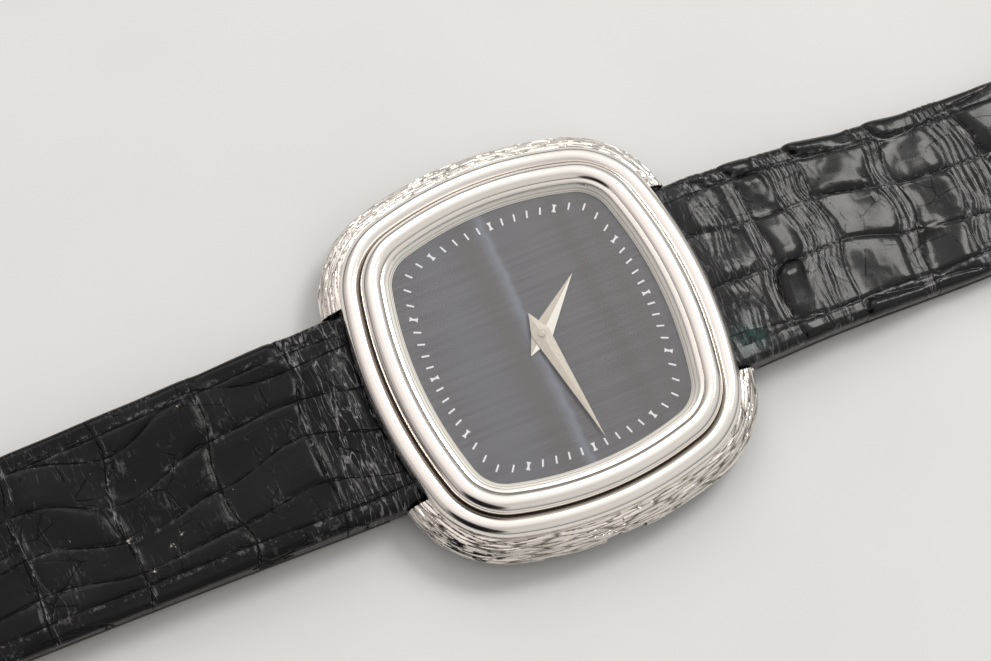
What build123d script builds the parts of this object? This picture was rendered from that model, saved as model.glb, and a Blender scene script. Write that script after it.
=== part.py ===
from build123d import *
import math
import os

# Cushion case watch, hand wound, two hands, leather strap. Millimetres and degrees.
# The head lies on its back: +Z out of the dial, +X to 3 o'clock, +Y to 12 o'clock,
# and the origin is the centre of the case back's flat outer face.

# Outline of the case: side arcs, end arcs and corner arcs of the bezel's outer edge
bezel_half_width = 16.5
bezel_half_height = 15.75
side_arc_radius = 33.15
end_arc_radius = 38.35
corner_arc_radius = 7.75

# Heights of the case, from the back face
back_plate_height = 0.8
case_bottom_height = 0.5
case_top_height = 4.4
dial_height = 5.4
flank_widest_height = 3.1

# Fits
press_gap = 0.01
running_gap = 0.04
seat_gap = 0.03
overrun = 0.5

# Widths measured inwards or outwards from the bezel's outer edge
dial_opening_inset = 4.5
rehaut_top_inset = 4.02
lip_inset = 3.9
glass_inset = 3.6
bezel_wall_inset = 3.42
dial_inset = 3.5
flank_reach = 1.6
back_inset = 4.3

# Bezel: two half-round ribs, the inner one a step higher
rim_width = 0.3
rim_height = 6.6
rim_foot_height = 6.46
inner_crown_inset = 2.8
inner_crown_height = 6.78
rib_groove_inset = 1.8
rib_groove_height = 5.42
outer_crown_inset = 0.95
outer_crown_height = 5.85
bezel_edge_inset = 0.06
bezel_edge_height = 4.55
lip_under_height = 6.36

# Glass, its gasket and the sloped ring under it
glass_thickness = 0.42
rehaut_foot_height = 0.06

# Case middle
case_bore_radius = 11.0
flank_edge_inset = 0.12
flank_bulge = 0.16
flank_lower_height = 1.5
flank_lower_inset = -1.05
case_foot_inset = 1.3
strap_slot_gap = 0.15
strap_case_width = 18.0
slot_half_width = strap_case_width / 2 + strap_slot_gap
slot_floor_half_height = 12.5
stem_bore_radius = 0.5
crown_notch_half_width = 1.9
crown_notch_depth = 1.75
crown_notch_top_height = 3.36

# Case back
back_spigot_radius = 10.6
back_spigot_wall = 0.6
back_spigot_height = 1.15
back_gasket_clearance = 0.02
back_screw_radius = 0.4
back_screw_head_radius = 0.75
back_screw_head_depth = 0.1
back_screw_head_height = 0.35
back_screw_circle_radius = 12.2
back_screw_length = 1.9
screw_slot_width = 0.18
screw_slot_depth = 0.14

# Movement
movement_radius = 10.2
holder_wall_gap = 0.05
plate_height = 4.0
plate_thickness = 1.0
bridge_height = 1.6
bridge_thickness = 0.4
arbor_radius = 0.12
pivot_gap = 0.03
jewel_radius = 0.5
jewel_thickness = 0.3
pillar_radius = 0.75
bridge_screw_radius = 0.3
bridge_screw_head_radius = 0.55
bridge_screw_head_height = 0.2

# Crown and stem, along X
stem_height = 2.2
stem_radius = 0.45
stem_inner_x = 6.9
stem_neck_radius = 0.28
stem_neck_x = 7.05
stem_neck_length = 0.25
crown_travel = 0.5
lever_half_width = 0.8
lever_drop = 0.5
lever_arm_length = 1.4
crown_radius = 1.1
crown_inner_x = 16.55
crown_outer_x = 17.55
crown_knurls = 24
crown_knurl_radius = 0.07
crown_washer_radius = 0.78
crown_washer_thickness = 0.16
pinion_stem_gap = 0.03
winding_pinion_x = 8.0
winding_pinion_length = 0.7
winding_module = 0.12
winding_teeth = 12
sliding_pinion_gap = 0.1
sliding_pinion_length = 0.6
stem_block_half_width = 0.95

# Wheels: teeth and modules
barrel_teeth = 60
centre_pinion_leaves = 12
barrel_module = 0.14
centre_teeth = 64
third_leaves = 8
centre_module = 0.11
third_teeth = 60
fourth_leaves = 8
third_module = 0.09
fourth_teeth = 80
escape_leaves = 8
fourth_module = 0.06
ratchet_teeth = 48
crown_wheel_teeth = 28
ratchet_module = 0.13
cannon_leaves = 12
minute_wheel_teeth = 36
minute_module = 0.1
minute_leaves = 10
hour_teeth = 40
hour_module = 0.096
escape_teeth = 15
escape_radius = 1.5
escape_root_share = 0.72
escape_front_share = 0.42
escape_tip_share = 0.5
escape_back_share = 0.4
escape_rim_share = 0.85
escape_hub_share = 0.35
backlash_share = 0.1

# Heights of the wheels' lower faces and their thicknesses
wheel_thickness = 0.14
ratchet_height = 1.25
ratchet_thickness = 0.25
barrel_height = 2.1
barrel_drum_height = 1.3
barrel_tooth_height = 0.35
barrel_wall = 0.2
barrel_drum_radius = 3.95
centre_wheel_height = 3.6
centre_pinion_height = 2.95
third_wheel_height = 2.6
fourth_wheel_height = 3.3
escape_wheel_height = 3.0
pinion_length = 0.4
minute_wheel_height = 4.42
hour_wheel_height = 4.66

# Bearings of the wheels seen from the dial, counted anticlockwise from 3 o'clock
barrel_bearing = 50
third_bearing = 160
fourth_bearing = 265
escape_bearing = 300
balance_bearing = -15.5
minute_wheel_bearing = -60
barrel_pillar_bearings = (14, 92)
train_pillar_bearings = (128, 192, 236)
cock_pillar_turn = 22
barrel_bridge_bearings = (-14, 112)
train_bridge_bearings = (117, 256)
pillar_inset_share = 1.6
cock_inset_share = 1.25
bridge_bite_share = 2.4
pallet_foot_share = 1.6

# Balance and escapement
balance_distance = 5.0
pallet_share = 0.35
balance_radius = 3.1
balance_rim_width = 0.4
balance_height = 2.3
balance_thickness = 0.34
roller_radius = 0.75
impulse_pin_radius = 0.08
impulse_pin_reach = 0.5
hairspring_inner_radius = 0.42
hairspring_pitch = 0.14
hairspring_turns = 9
hairspring_width = 0.045
hairspring_height = 2.05
hairspring_tall = 0.14
pallet_arm_width = 0.26
pallet_thickness = 0.12
pallet_stone_width = 0.22
pallet_stone_length = 0.4
pallet_span_share = 1.5
stone_place_share = 0.66
notch_width_share = 2.4
horn_width_share = 7
horn_length_share = 4

# Mainspring
mainspring_inner_radius = 1.0
mainspring_pitch = 0.3
mainspring_turns = 8
mainspring_width = 0.12
barrel_arbor_radius = 0.6

# Click that holds the ratchet wheel
click_bearing = 118
click_length = 1.3
click_width = 0.5
click_pivot_turn = 70
click_spring_share = 0.9
click_spring_cut_share = 0.8

# Hands, pivot pipes and dial
dial_thickness = 0.4
dial_hole_radius = 0.7
dial_foot_radius = 0.3
dial_foot_length = 0.6
dial_foot_circle_radius = 8.6
dial_foot_bearings = (75, 255)
cannon_pipe_radius = 0.26
cannon_bore_gap = 0.02
hour_pipe_gap = 0.03
hour_pipe_wall = 0.14
hand_thickness = 0.05
hand_ridge = 0.06
hour_hand_height = 5.52
minute_hand_height = 5.72
hour_hand_reach = 6.3
hour_hand_tail = 2.17
hour_hand_half_width = 0.94
hour_hand_bearing = 130.5
minute_hand_reach = 10.37
minute_hand_tail = 2.23
minute_hand_half_width = 0.84
minute_hand_widest_back = 0.27
minute_hand_bearing = 6.8
hand_boss_radius = 0.5
hand_boss_height = 0.12
pipe_end_height = 5.9

# Printed track: sixty marks just inside the dial opening
track_inset = 5.78
minute_mark_length = 0.67
minute_mark_width = 0.15
hour_mark_length = 0.71
hour_mark_width = 0.44
hour_mark_waist = 0.17
mark_thickness = 0.03
marks_round_dial = 60
marks_per_hour = 5

# Strap, both halves
strap_end_width = 16.0
strap_nose_radius = 1.5
bar_y = 14.3
bar_height = 2.55
bar_radius = 0.7
bar_hole_gap = 0.05
bar_end_gap = 0.35
bar_half_length = slot_half_width - bar_end_gap
tip_radius = 0.4
tip_seat = 0.75
tip_inside = 0.5
tip_travel = 0.8
bar_bore_radius = 0.45
bar_spring_radius = 0.38
bar_spring_wire = 0.07
bar_spring_turns = 16
lining_thickness = 0.6
buckle_strap_length = 75.0
tail_strap_length = 115.0
tail_point_length = 14.0
strap_hole_radius = 0.9
strap_hole_pitch = 6.5
strap_hole_count = 7
first_hole_from_end = 28.0
# of each half: place along it, height of its upper face, and thickness
buckle_side_shares = ((0.04, 0.99, 1.0), (0.13, 0.89, 0.9), (0.31, 0.63, 0.75), (0.45, 0.605, 0.65),
                      (0.57, 0.679, 0.6), (0.92, 0.679, 0.6))
tail_side_shares = ((0.03, 1.015, 1.0), (0.12, 1.045, 0.93), (0.28, 1.035, 0.76), (0.45, 0.86, 0.65),
                    (0.62, 0.59, 0.6), (0.8, 0.4444, 0.6))
# of each half: place along it, sideways drift, and where its width lies between case and end
buckle_plan_shares = ((0.14, 0.1, 0.22), (0.33, 1.0, 0.6), (0.55, 1.25, 0.95), (0.75, 1.25, 1.0))
tail_plan_shares = ((0.12, 0, 0.26), (0.28, 0, 0.6), (0.5, 0, 0.95), (0.75, 0, 1.0))
strap_drift = 0.8
buckle_end_height = 1.1
buckle_end_radius = 0.9

# Keepers, round the buckle half and with room for the tail above it
keeper_wall = 0.8
keeper_width = 5.0
keeper_side_gap = 0.25
keeper_room = 2.1
keeper_gap = 0.15
fixed_keeper_from_end = 9.0
free_keeper_from_end = 24.0

# Buckle
buckle_bar_radius = 0.55
buckle_bar_gap = 0.05
buckle_wire = 1.7
buckle_thickness = 1.7
buckle_reach = 9.0
buckle_side_gap = 0.35
buckle_corner_radius = 2.6
buckle_ear_share = 0.7
tongue_width = 1.7
tongue_thickness = 0.9
tongue_tip_share = 0.8
tongue_loop_radius = 1.05
tongue_slot_gap = 0.3


def unit(vector):
    return vector * (1 / vector.length)


def at_bearing(distance, bearing, start=Vector(0, 0)):
    turn = math.radians(bearing)
    return start + Vector(math.cos(turn), math.sin(turn)) * distance


def pitch_radius(teeth, module):
    return teeth * module / 2


# Places of the wheels, from the tooth counts
barrel_place = at_bearing(pitch_radius(barrel_teeth + centre_pinion_leaves, barrel_module), barrel_bearing)
third_place = at_bearing(pitch_radius(centre_teeth + third_leaves, centre_module), third_bearing)
fourth_place = at_bearing(pitch_radius(third_teeth + fourth_leaves, third_module), fourth_bearing, third_place)
escape_place = at_bearing(pitch_radius(fourth_teeth + escape_leaves, fourth_module), escape_bearing, fourth_place)
balance_place = at_bearing(balance_distance, balance_bearing, escape_place)
pallet_place = at_bearing(balance_distance * pallet_share, balance_bearing, escape_place)
minute_place = at_bearing(pitch_radius(cannon_leaves + minute_wheel_teeth, minute_module), minute_wheel_bearing)
ratchet_span = pitch_radius(ratchet_teeth + crown_wheel_teeth, ratchet_module)
crown_wheel_x = barrel_place.X + math.sqrt(ratchet_span ** 2 - barrel_place.Y ** 2)
crown_wheel_place = Vector(crown_wheel_x, 0)


def cushion_points(outset):
    """Ends and middles of the nine arcs of an outline parallel to the bezel's outer edge."""
    side_centre = Vector(bezel_half_width - side_arc_radius, 0)
    end_centre = Vector(0, bezel_half_height - end_arc_radius)
    side_reach = side_arc_radius - corner_arc_radius
    end_reach = end_arc_radius - corner_arc_radius
    line = end_centre - side_centre
    along = (side_reach ** 2 - end_reach ** 2 + line.length ** 2) / (2 * line.length)
    rise = math.sqrt(side_reach ** 2 - along ** 2)
    toward = unit(line)
    corner_centre = side_centre + toward * along + Vector(-toward.Y, toward.X) * rise
    from_side = unit(corner_centre - side_centre)
    from_end = unit(corner_centre - end_centre)
    side_end = side_centre + from_side * (side_arc_radius + outset)
    corner_middle = corner_centre + unit(from_side + from_end) * (corner_arc_radius + outset)
    end_start = end_centre + from_end * (end_arc_radius + outset)
    half_turn = math.asin(from_side.Y) / 2
    side_quarter = side_centre + Vector(math.cos(half_turn), math.sin(half_turn)) * (side_arc_radius + outset)
    side_middle = Vector(bezel_half_width + outset, 0)
    end_middle = Vector(0, bezel_half_height + outset)
    return side_middle, side_quarter, side_end, corner_middle, end_start, end_middle


def flip_x(point):
    return Vector(-point.X, point.Y)


def flip_y(point):
    return Vector(point.X, -point.Y)


def flip_both(point):
    return Vector(-point.X, -point.Y)


def cushion_wire(outset):
    middle, quarter, side_end, corner, end_start, end_middle = cushion_points(outset)
    arcs = [
        (middle, quarter, side_end),
        (side_end, corner, end_start),
        (end_start, end_middle, flip_x(end_start)),
        (flip_x(end_start), flip_x(corner), flip_x(side_end)),
        (flip_x(side_end), flip_x(middle), flip_both(side_end)),
        (flip_both(side_end), flip_both(corner), flip_both(end_start)),
        (flip_both(end_start), flip_y(end_middle), flip_y(end_start)),
        (flip_y(end_start), flip_y(corner), flip_y(side_end)),
        (flip_y(side_end), flip_y(quarter), middle),
    ]
    return Wire([ThreePointArc(*points) for points in arcs])


def cushion_plate(outset, bottom, top):
    return Pos(0, 0, bottom) * extrude(Face(cushion_wire(outset)), top - bottom)


def cushion_ring(outer, inner, bottom, top):
    return cushion_plate(outer, bottom, top) - cushion_plate(inner, bottom - overrun, top + overrun)


def disc(radius, bottom, top, place=Vector(0, 0)):
    return Pos(place.X, place.Y, (bottom + top) / 2) * Cylinder(radius, top - bottom)


def ring(outer, inner, bottom, top, place=Vector(0, 0)):
    return disc(outer, bottom, top, place) - disc(inner, bottom - overrun, top + overrun, place)


def block(low, high):
    size = high - low
    centre = (high + low) * 0.5
    return Pos(centre.X, centre.Y, centre.Z) * Box(size.X, size.Y, size.Z)


def rod_along_x(radius, start, end, y, z):
    return Pos((start + end) / 2, y, z) * Rot(0, 90, 0) * Cylinder(radius, end - start)


def swept_profile(edges):
    """A closed cross-section, drawn at 3 o'clock in the XZ plane, carried round the cushion."""
    return sweep(make_face(Plane.XZ * Curve(edges)), path=cushion_wire(0))


def polygon_edges(points):
    return [Line(start, end) for start, end in zip(points, points[1:] + points[:1])]


def gear(teeth, module, bottom, thickness, place, tooth_bearing, bore):
    """Straight-flanked teeth, one of them centred on tooth_bearing, and a plain bore."""
    radius = pitch_radius(teeth, module)
    tip = radius + module
    root = radius - module * (1 + backlash_share * 2)
    step = math.tau / teeth
    tooth = step / 2 * (1 - backlash_share)
    tip_half = tooth * backlash_share * 2
    root_half = tooth * (1 - backlash_share * 4)
    points = []
    for index in range(teeth):
        middle = math.radians(tooth_bearing) + index * step
        for reach, turn in ((root, -root_half), (tip, -tip_half), (tip, tip_half), (root, root_half)):
            angle = middle + turn
            points.append((place.X + reach * math.cos(angle), place.Y + reach * math.sin(angle)))
    outline = Face(Wire.make_polygon(points, close=True))
    wheel = Pos(0, 0, bottom) * extrude(outline, thickness)
    return wheel - disc(bore, bottom - overrun, bottom + thickness + overrun, place)


def crossed_out(wheel, outer, inner, spoke_width, bottom, thickness, place, spokes=4):
    """Windows between the spokes of a wheel."""
    windows = ring(outer, inner, bottom - overrun, bottom + thickness + overrun, place)
    for index in range(spokes // 2):
        bar = Box(outer * 3, spoke_width, thickness + overrun * 3)
        windows -= Pos(place.X, place.Y, bottom) * Rot(0, 0, 180 / spokes * 2 * index) * bar
    return wheel - windows


def gap_bearing(bearing, leaves):
    return bearing + 180 + 180 / leaves


def spiral_ribbon(inner_radius, pitch, turns, width, bottom, tall, place):
    """Half circles whose centres change over by a quarter of the pitch."""
    outer_edges = []
    inner_edges = []
    shift = -pitch / 4
    radius = inner_radius
    sign = 1
    for index in range(turns * 2):
        centre = place.X + shift * sign
        for edges, reach in ((outer_edges, radius + width / 2), (inner_edges, radius - width / 2)):
            start = (centre + reach * sign, place.Y)
            middle = (centre, place.Y + reach * sign)
            end = (centre - reach * sign, place.Y)
            edges.append(ThreePointArc(start, middle, end))
        radius += pitch / 2
        sign = -sign
    closing = [
        Line(inner_edges[0] @ 0, outer_edges[0] @ 0),
        Line(outer_edges[-1] @ 1, inner_edges[-1] @ 1),
    ]
    face = Face(Wire(outer_edges + inner_edges + closing))
    return Pos(0, 0, bottom) * extrude(face, tall)


def slotted_screw(place, head_radius, head_bottom, head_top, shank_radius, shank_top):
    """Head towards the back, with a slot across it, and a plain shank."""
    screw = disc(head_radius, head_bottom, head_top, place) + disc(shank_radius, head_top, shank_top, place)
    slot = Box(head_radius * 3, screw_slot_width, screw_slot_depth * 2)
    return screw - Pos(place.X, place.Y, head_bottom) * Rot(0, 0, 45) * slot


# Case

def make_bezel():
    """Two polished half-round ribs round the dial and a lip that holds the glass down."""
    lip_x = bezel_half_width - lip_inset
    rim_x = lip_x + rim_width
    crown_x = bezel_half_width - inner_crown_inset
    groove_x = bezel_half_width - rib_groove_inset
    outer_x = bezel_half_width - outer_crown_inset
    edge_x = bezel_half_width - bezel_edge_inset
    wall_x = bezel_half_width - bezel_wall_inset
    edges = [
        Line((lip_x, lip_under_height), (lip_x, rim_height)),
        Line((lip_x, rim_height), (rim_x, rim_foot_height)),
        ThreePointArc((rim_x, rim_foot_height), (crown_x, inner_crown_height), (groove_x, rib_groove_height)),
        ThreePointArc((groove_x, rib_groove_height), (outer_x, outer_crown_height),
                      (edge_x, bezel_edge_height)),
        Line((edge_x, bezel_edge_height), (edge_x, case_top_height)),
        Line((edge_x, case_top_height), (wall_x, case_top_height)),
        Line((wall_x, case_top_height), (wall_x, lip_under_height)),
        Line((wall_x, lip_under_height), (lip_x, lip_under_height)),
    ]
    return swept_profile(edges)


def make_crystal():
    top = lip_under_height
    return cushion_plate(-glass_inset, top - glass_thickness, top)


def make_crystal_gasket():
    top = lip_under_height
    return cushion_ring(-bezel_wall_inset - press_gap, -glass_inset + press_gap, top - glass_thickness, top)


def make_rehaut_ring():
    """Polished slope between the dial and the glass, which rests on it."""
    foot_x = bezel_half_width - dial_opening_inset
    top_x = bezel_half_width - rehaut_top_inset
    wall_x = bezel_half_width - bezel_wall_inset - seat_gap
    top = lip_under_height - glass_thickness
    points = [(foot_x, dial_height), (foot_x, dial_height + rehaut_foot_height), (top_x, top),
              (wall_x, top), (wall_x, dial_height)]
    return swept_profile(polygon_edges(points))


def make_case_middle():
    """The body of the case: flank, lug ends, slots for the strap and the seat of the back."""
    edge_x = bezel_half_width - flank_edge_inset
    widest_x = bezel_half_width + flank_reach
    lower_x = bezel_half_width - flank_lower_inset
    foot_x = bezel_half_width - case_foot_inset
    core_x = bezel_half_width - back_inset
    upper_x = (edge_x + widest_x) / 2 + flank_bulge
    upper_z = (case_top_height + flank_widest_height) / 2 + flank_bulge
    under_x = (widest_x + lower_x) / 2 + flank_bulge
    under_z = (flank_widest_height + flank_lower_height) / 2
    edges = [
        ThreePointArc((edge_x, case_top_height), (upper_x, upper_z), (widest_x, flank_widest_height)),
        ThreePointArc((widest_x, flank_widest_height), (under_x, under_z), (lower_x, flank_lower_height)),
        Line((lower_x, flank_lower_height), (foot_x, case_bottom_height)),
        Line((foot_x, case_bottom_height), (core_x, case_bottom_height)),
        Line((core_x, case_bottom_height), (core_x, case_top_height)),
        Line((core_x, case_top_height), (edge_x, case_top_height)),
    ]
    body = swept_profile(edges) + cushion_plate(-back_inset + seat_gap, case_bottom_height, case_top_height)
    body -= disc(case_bore_radius, -overrun, case_top_height + overrun)
    body -= cushion_plate(-back_inset + seat_gap, -overrun, back_plate_height)
    reach = bezel_half_height + flank_reach + overrun
    for side in (-1, 1):
        near = Vector(-slot_half_width, slot_floor_half_height, -overrun)
        far = Vector(slot_half_width, reach, case_top_height + overrun)
        body -= Rot(0, 0, 90 - 90 * side) * block(near, far)
        for end in (-1, 1):
            seat = slot_half_width - overrun
            deep = slot_half_width + tip_seat + seat_gap * 3
            start, stop = sorted((seat * end, deep * end))
            body -= rod_along_x(tip_radius + running_gap, start, stop, bar_y * side, bar_height)
    notch_x = bezel_half_width + flank_reach - crown_notch_depth
    low = Vector(notch_x, -crown_notch_half_width, -overrun)
    high = Vector(bezel_half_width + flank_reach + overrun, crown_notch_half_width, crown_notch_top_height)
    body -= block(low, high)
    body -= rod_along_x(stem_bore_radius, 0, notch_x + overrun, 0, stem_height)
    for place in back_screw_places():
        body -= disc(back_screw_radius + press_gap, -overrun, back_screw_top() + seat_gap, place)
    return body


def back_screw_places():
    corner = unit(cushion_points(-back_inset)[3]) * back_screw_circle_radius
    return [corner, flip_x(corner), flip_y(corner), flip_both(corner)]


def back_screw_top():
    return back_screw_head_depth + back_screw_head_height + back_screw_length


def make_case_back():
    back = cushion_plate(-back_inset, 0, back_plate_height)
    back += ring(back_spigot_radius, back_spigot_radius - back_spigot_wall, back_plate_height - seat_gap,
                 back_spigot_height)
    head_top = back_screw_head_depth + back_screw_head_height
    for place in back_screw_places():
        back -= disc(back_screw_head_radius + seat_gap, -overrun, head_top, place)
        back -= disc(back_screw_radius + seat_gap, -overrun, back_plate_height + overrun, place)
    return back


def make_back_gasket():
    outer = case_bore_radius - back_gasket_clearance
    inner = back_spigot_radius + back_gasket_clearance
    return ring(outer, inner, back_plate_height + press_gap, back_spigot_height)


def make_back_screws():
    head_top = back_screw_head_depth + back_screw_head_height
    screws = []
    for place in back_screw_places():
        screw = slotted_screw(place, back_screw_head_radius, back_screw_head_depth, head_top,
                              back_screw_radius, back_screw_top())
        screws.append(screw)
    return screws


def make_movement_holder():
    """Ring between movement and case, with a flange that carries the edge of the dial."""
    inner = movement_radius + holder_wall_gap
    holder = ring(case_bore_radius - holder_wall_gap, inner, back_spigot_height + seat_gap, case_top_height)
    flange = cushion_plate(-dial_inset, case_top_height, dial_height - dial_thickness)
    flange -= disc(inner, case_top_height - overrun, dial_height + overrun)
    holder = holder + flange
    return holder - rod_along_x(stem_bore_radius, 0, case_bore_radius + overrun, 0, stem_height)


# Dial and hands

def make_dial():
    dial = cushion_plate(-dial_inset, dial_height - dial_thickness, dial_height)
    dial -= disc(dial_hole_radius, 0, dial_height + overrun)
    foot_top = dial_height - dial_thickness
    for bearing in dial_foot_bearings:
        place = at_bearing(dial_foot_circle_radius, bearing)
        dial += disc(dial_foot_radius, foot_top - dial_foot_length, foot_top, place)
    return dial


def mark_face(length, end_width, waist):
    """A bar that narrows at its middle when waist is under end_width."""
    half = length / 2
    edges = [
        Line((-half, -end_width / 2), (-half, end_width / 2)),
        ThreePointArc((-half, end_width / 2), (0, waist / 2), (half, end_width / 2)),
        Line((half, end_width / 2), (half, -end_width / 2)),
        ThreePointArc((half, -end_width / 2), (0, -waist / 2), (-half, -end_width / 2)),
    ]
    return make_face(Curve(edges))


def track_point(bearing):
    """Where a line from the centre crosses the cushion of the printed track."""
    far = at_bearing(bezel_half_width * 2, bearing)
    inside = Face(cushion_wire(-track_inset)) & Line((0, 0), (far.X, far.Y))
    return Vector(0, 0) + inside.edges()[0].length * unit(far)


def make_dial_markers():
    marks = []
    for index in range(marks_round_dial):
        bearing = 360 / marks_round_dial * index
        is_hour = index % marks_per_hour == 0
        length = hour_mark_length if is_hour else minute_mark_length
        width = hour_mark_width if is_hour else minute_mark_width
        waist = hour_mark_waist if is_hour else minute_mark_width
        if is_hour:
            face = mark_face(length, width, waist)
        else:
            face = Rectangle(length, width)
        point = track_point(bearing)
        marks.append(Pos(point.X, point.Y, dial_height) * Rot(0, 0, bearing) * extrude(face, mark_thickness))
    return marks


def make_hand(reach, tail, half_width, widest_back, bearing, bottom, bore):
    """Kite-shaped hand with a ridge, and a round boss pressed on its pipe."""
    top = bottom + hand_thickness
    peak = Vector(-widest_back, 0, top + hand_ridge)
    tip = Vector(reach, 0, 0)
    back = Vector(-tail, 0, 0)
    left = Vector(-widest_back, half_width, 0)
    right = Vector(-widest_back, -half_width, 0)
    corners = [tip, left, back, right]
    low = [point + Vector(0, 0, bottom) for point in corners]
    high = [point + Vector(0, 0, top) for point in corners]
    faces = [Face(Wire.make_polygon(low, close=True))]
    for index in range(len(corners)):
        after = (index + 1) % len(corners)
        side = [low[index], low[after], high[after], high[index]]
        faces.append(Face(Wire.make_polygon(side, close=True)))
        faces.append(Face(Wire.make_polygon([high[index], high[after], peak], close=True)))
    blade = Solid(Shell(faces))
    hand = Part() + blade + disc(hand_boss_radius, bottom, bottom + hand_boss_height)
    hand -= disc(bore, bottom - overrun, bottom + overrun)
    return Rot(0, 0, bearing) * hand


def hour_pipe_inner():
    return cannon_pipe_radius + hour_pipe_gap


def hour_pipe_outer():
    return hour_pipe_inner() + hour_pipe_wall


def make_hour_hand():
    return make_hand(hour_hand_reach, hour_hand_tail, hour_hand_half_width, 0, hour_hand_bearing,
                     hour_hand_height, hour_pipe_outer() + press_gap)


def make_minute_hand():
    return make_hand(minute_hand_reach, minute_hand_tail, minute_hand_half_width, minute_hand_widest_back,
                     minute_hand_bearing, minute_hand_height, cannon_pipe_radius + press_gap)


# Motion works under the dial

def make_cannon_pinion():
    bore = arbor_radius + cannon_bore_gap
    leaves = gear(cannon_leaves, minute_module, minute_wheel_height, wheel_thickness, Vector(0, 0),
                  gap_bearing(minute_wheel_bearing + 180, cannon_leaves), bore)
    pipe = ring(cannon_pipe_radius, bore, minute_wheel_height, pipe_end_height)
    return leaves + pipe


def make_minute_wheel():
    """Wheel and pinion that turn the hour wheel once for twelve turns of the minute hand."""
    wheel = gear(minute_wheel_teeth, minute_module, minute_wheel_height, wheel_thickness, minute_place,
                 minute_wheel_bearing + 180, minute_post_radius() + running_gap)
    pinion = gear(minute_leaves, hour_module, minute_wheel_height + wheel_thickness,
                  hour_wheel_height - minute_wheel_height, minute_place,
                  gap_bearing(minute_wheel_bearing, minute_leaves), minute_post_radius() + running_gap)
    return wheel + pinion


def minute_post_radius():
    return arbor_radius + press_gap


def make_hour_wheel():
    wheel = gear(hour_teeth, hour_module, hour_wheel_height, wheel_thickness, Vector(0, 0),
                 minute_wheel_bearing, hour_pipe_inner())
    pipe = ring(hour_pipe_outer(), hour_pipe_inner(), hour_wheel_height,
                hour_hand_height + hand_thickness + hand_ridge / 2)
    return wheel + pipe


# Plates and bridges

def train_places():
    return [third_place, fourth_place, escape_place]


def make_main_plate():
    top = plate_height + plate_thickness
    plate = disc(movement_radius, plate_height, top)
    recess = minute_wheel_height - running_gap * 2
    hour_room = pitch_radius(hour_teeth, hour_module) + hour_module * 3
    minute_room = pitch_radius(minute_wheel_teeth, minute_module) + minute_module * 3
    plate -= disc(hour_room, recess, top + overrun)
    plate -= disc(minute_room, recess, top + overrun, minute_place)
    plate += disc(minute_post_radius(), recess - press_gap, top - running_gap, minute_place)
    plate -= disc(arbor_radius + pivot_gap, 0, top)
    for bearing in dial_foot_bearings:
        place = at_bearing(dial_foot_circle_radius, bearing)
        plate -= disc(dial_foot_radius + seat_gap, plate_height - overrun, top + overrun, place)
    for place in train_places() + [pallet_place, balance_place]:
        plate -= disc(jewel_radius, plate_height - overrun, plate_height + jewel_thickness, place)
        plate -= disc(arbor_radius + pivot_gap, plate_height - overrun, plate_height + jewel_thickness * 2, place)
    plate -= disc(barrel_arbor_radius / 2 + pivot_gap, plate_height - overrun,
                  plate_height + jewel_thickness * 2, barrel_place)
    for place in pillar_places():
        plate += disc(pillar_radius, bridge_height + bridge_thickness, plate_height, place)
        plate -= disc(bridge_screw_radius + press_gap, 0, plate_height, place)
    pinions = winding_pinion_length + sliding_pinion_length + sliding_pinion_gap * 2
    low = Vector(winding_pinion_x + pinions, -stem_block_half_width, bridge_height)
    edge = math.sqrt(movement_radius ** 2 - stem_block_half_width ** 2)
    plate += block(low, Vector(edge, stem_block_half_width, plate_height))
    return plate - rod_along_x(stem_radius + running_gap, 0, movement_radius + overrun, 0, stem_height)


def barrel_pillars():
    reach = movement_radius - pillar_radius * pillar_inset_share
    return [at_bearing(reach, bearing) for bearing in barrel_pillar_bearings]


def train_pillars():
    reach = movement_radius - pillar_radius * pillar_inset_share
    return [at_bearing(reach, bearing) for bearing in train_pillar_bearings]


def cock_pillars():
    outward = math.degrees(math.atan2(balance_place.Y, balance_place.X))
    return [at_bearing(movement_radius - pillar_radius * cock_inset_share, outward + cock_pillar_turn)]


def pillar_places():
    return barrel_pillars() + train_pillars() + cock_pillars()


def sector(radius, first, last, bottom, top):
    """A slice of a disc between two bearings."""
    middle = (first + last) / 2
    edges = [
        Line((0, 0), tuple(at_bearing(radius, first))[:2]),
        ThreePointArc(tuple(at_bearing(radius, first))[:2], tuple(at_bearing(radius, middle))[:2],
                      tuple(at_bearing(radius, last))[:2]),
        Line(tuple(at_bearing(radius, last))[:2], (0, 0)),
    ]
    return Pos(0, 0, bottom) * extrude(make_face(Curve(edges)), top - bottom)


def make_barrel_bridge():
    bottom = bridge_height
    top = bridge_height + bridge_thickness
    bridge = sector(movement_radius, *barrel_bridge_bearings, bottom, top)
    bridge -= disc(pillar_radius * bridge_bite_share, bottom - overrun, top + overrun)
    bridge -= disc(barrel_arbor_radius + pivot_gap, bottom - overrun, top + overrun, barrel_place)
    room = pitch_radius(winding_teeth, winding_module) + winding_module * 2
    low = Vector(stem_inner_x - running_gap * 5, -room, bottom - overrun)
    high = Vector(movement_radius + overrun, room, top + overrun)
    bridge -= block(low, high)
    bridge += disc(crown_wheel_post_radius(), ratchet_height, bottom + press_gap, crown_wheel_place)
    bridge += disc(arbor_radius, ratchet_height, bottom + press_gap, click_pivot())
    for place in barrel_pillars():
        bridge -= disc(bridge_screw_radius + press_gap, bottom - overrun, top + overrun, place)
    return bridge


def crown_wheel_post_radius():
    return bridge_screw_head_radius


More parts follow.
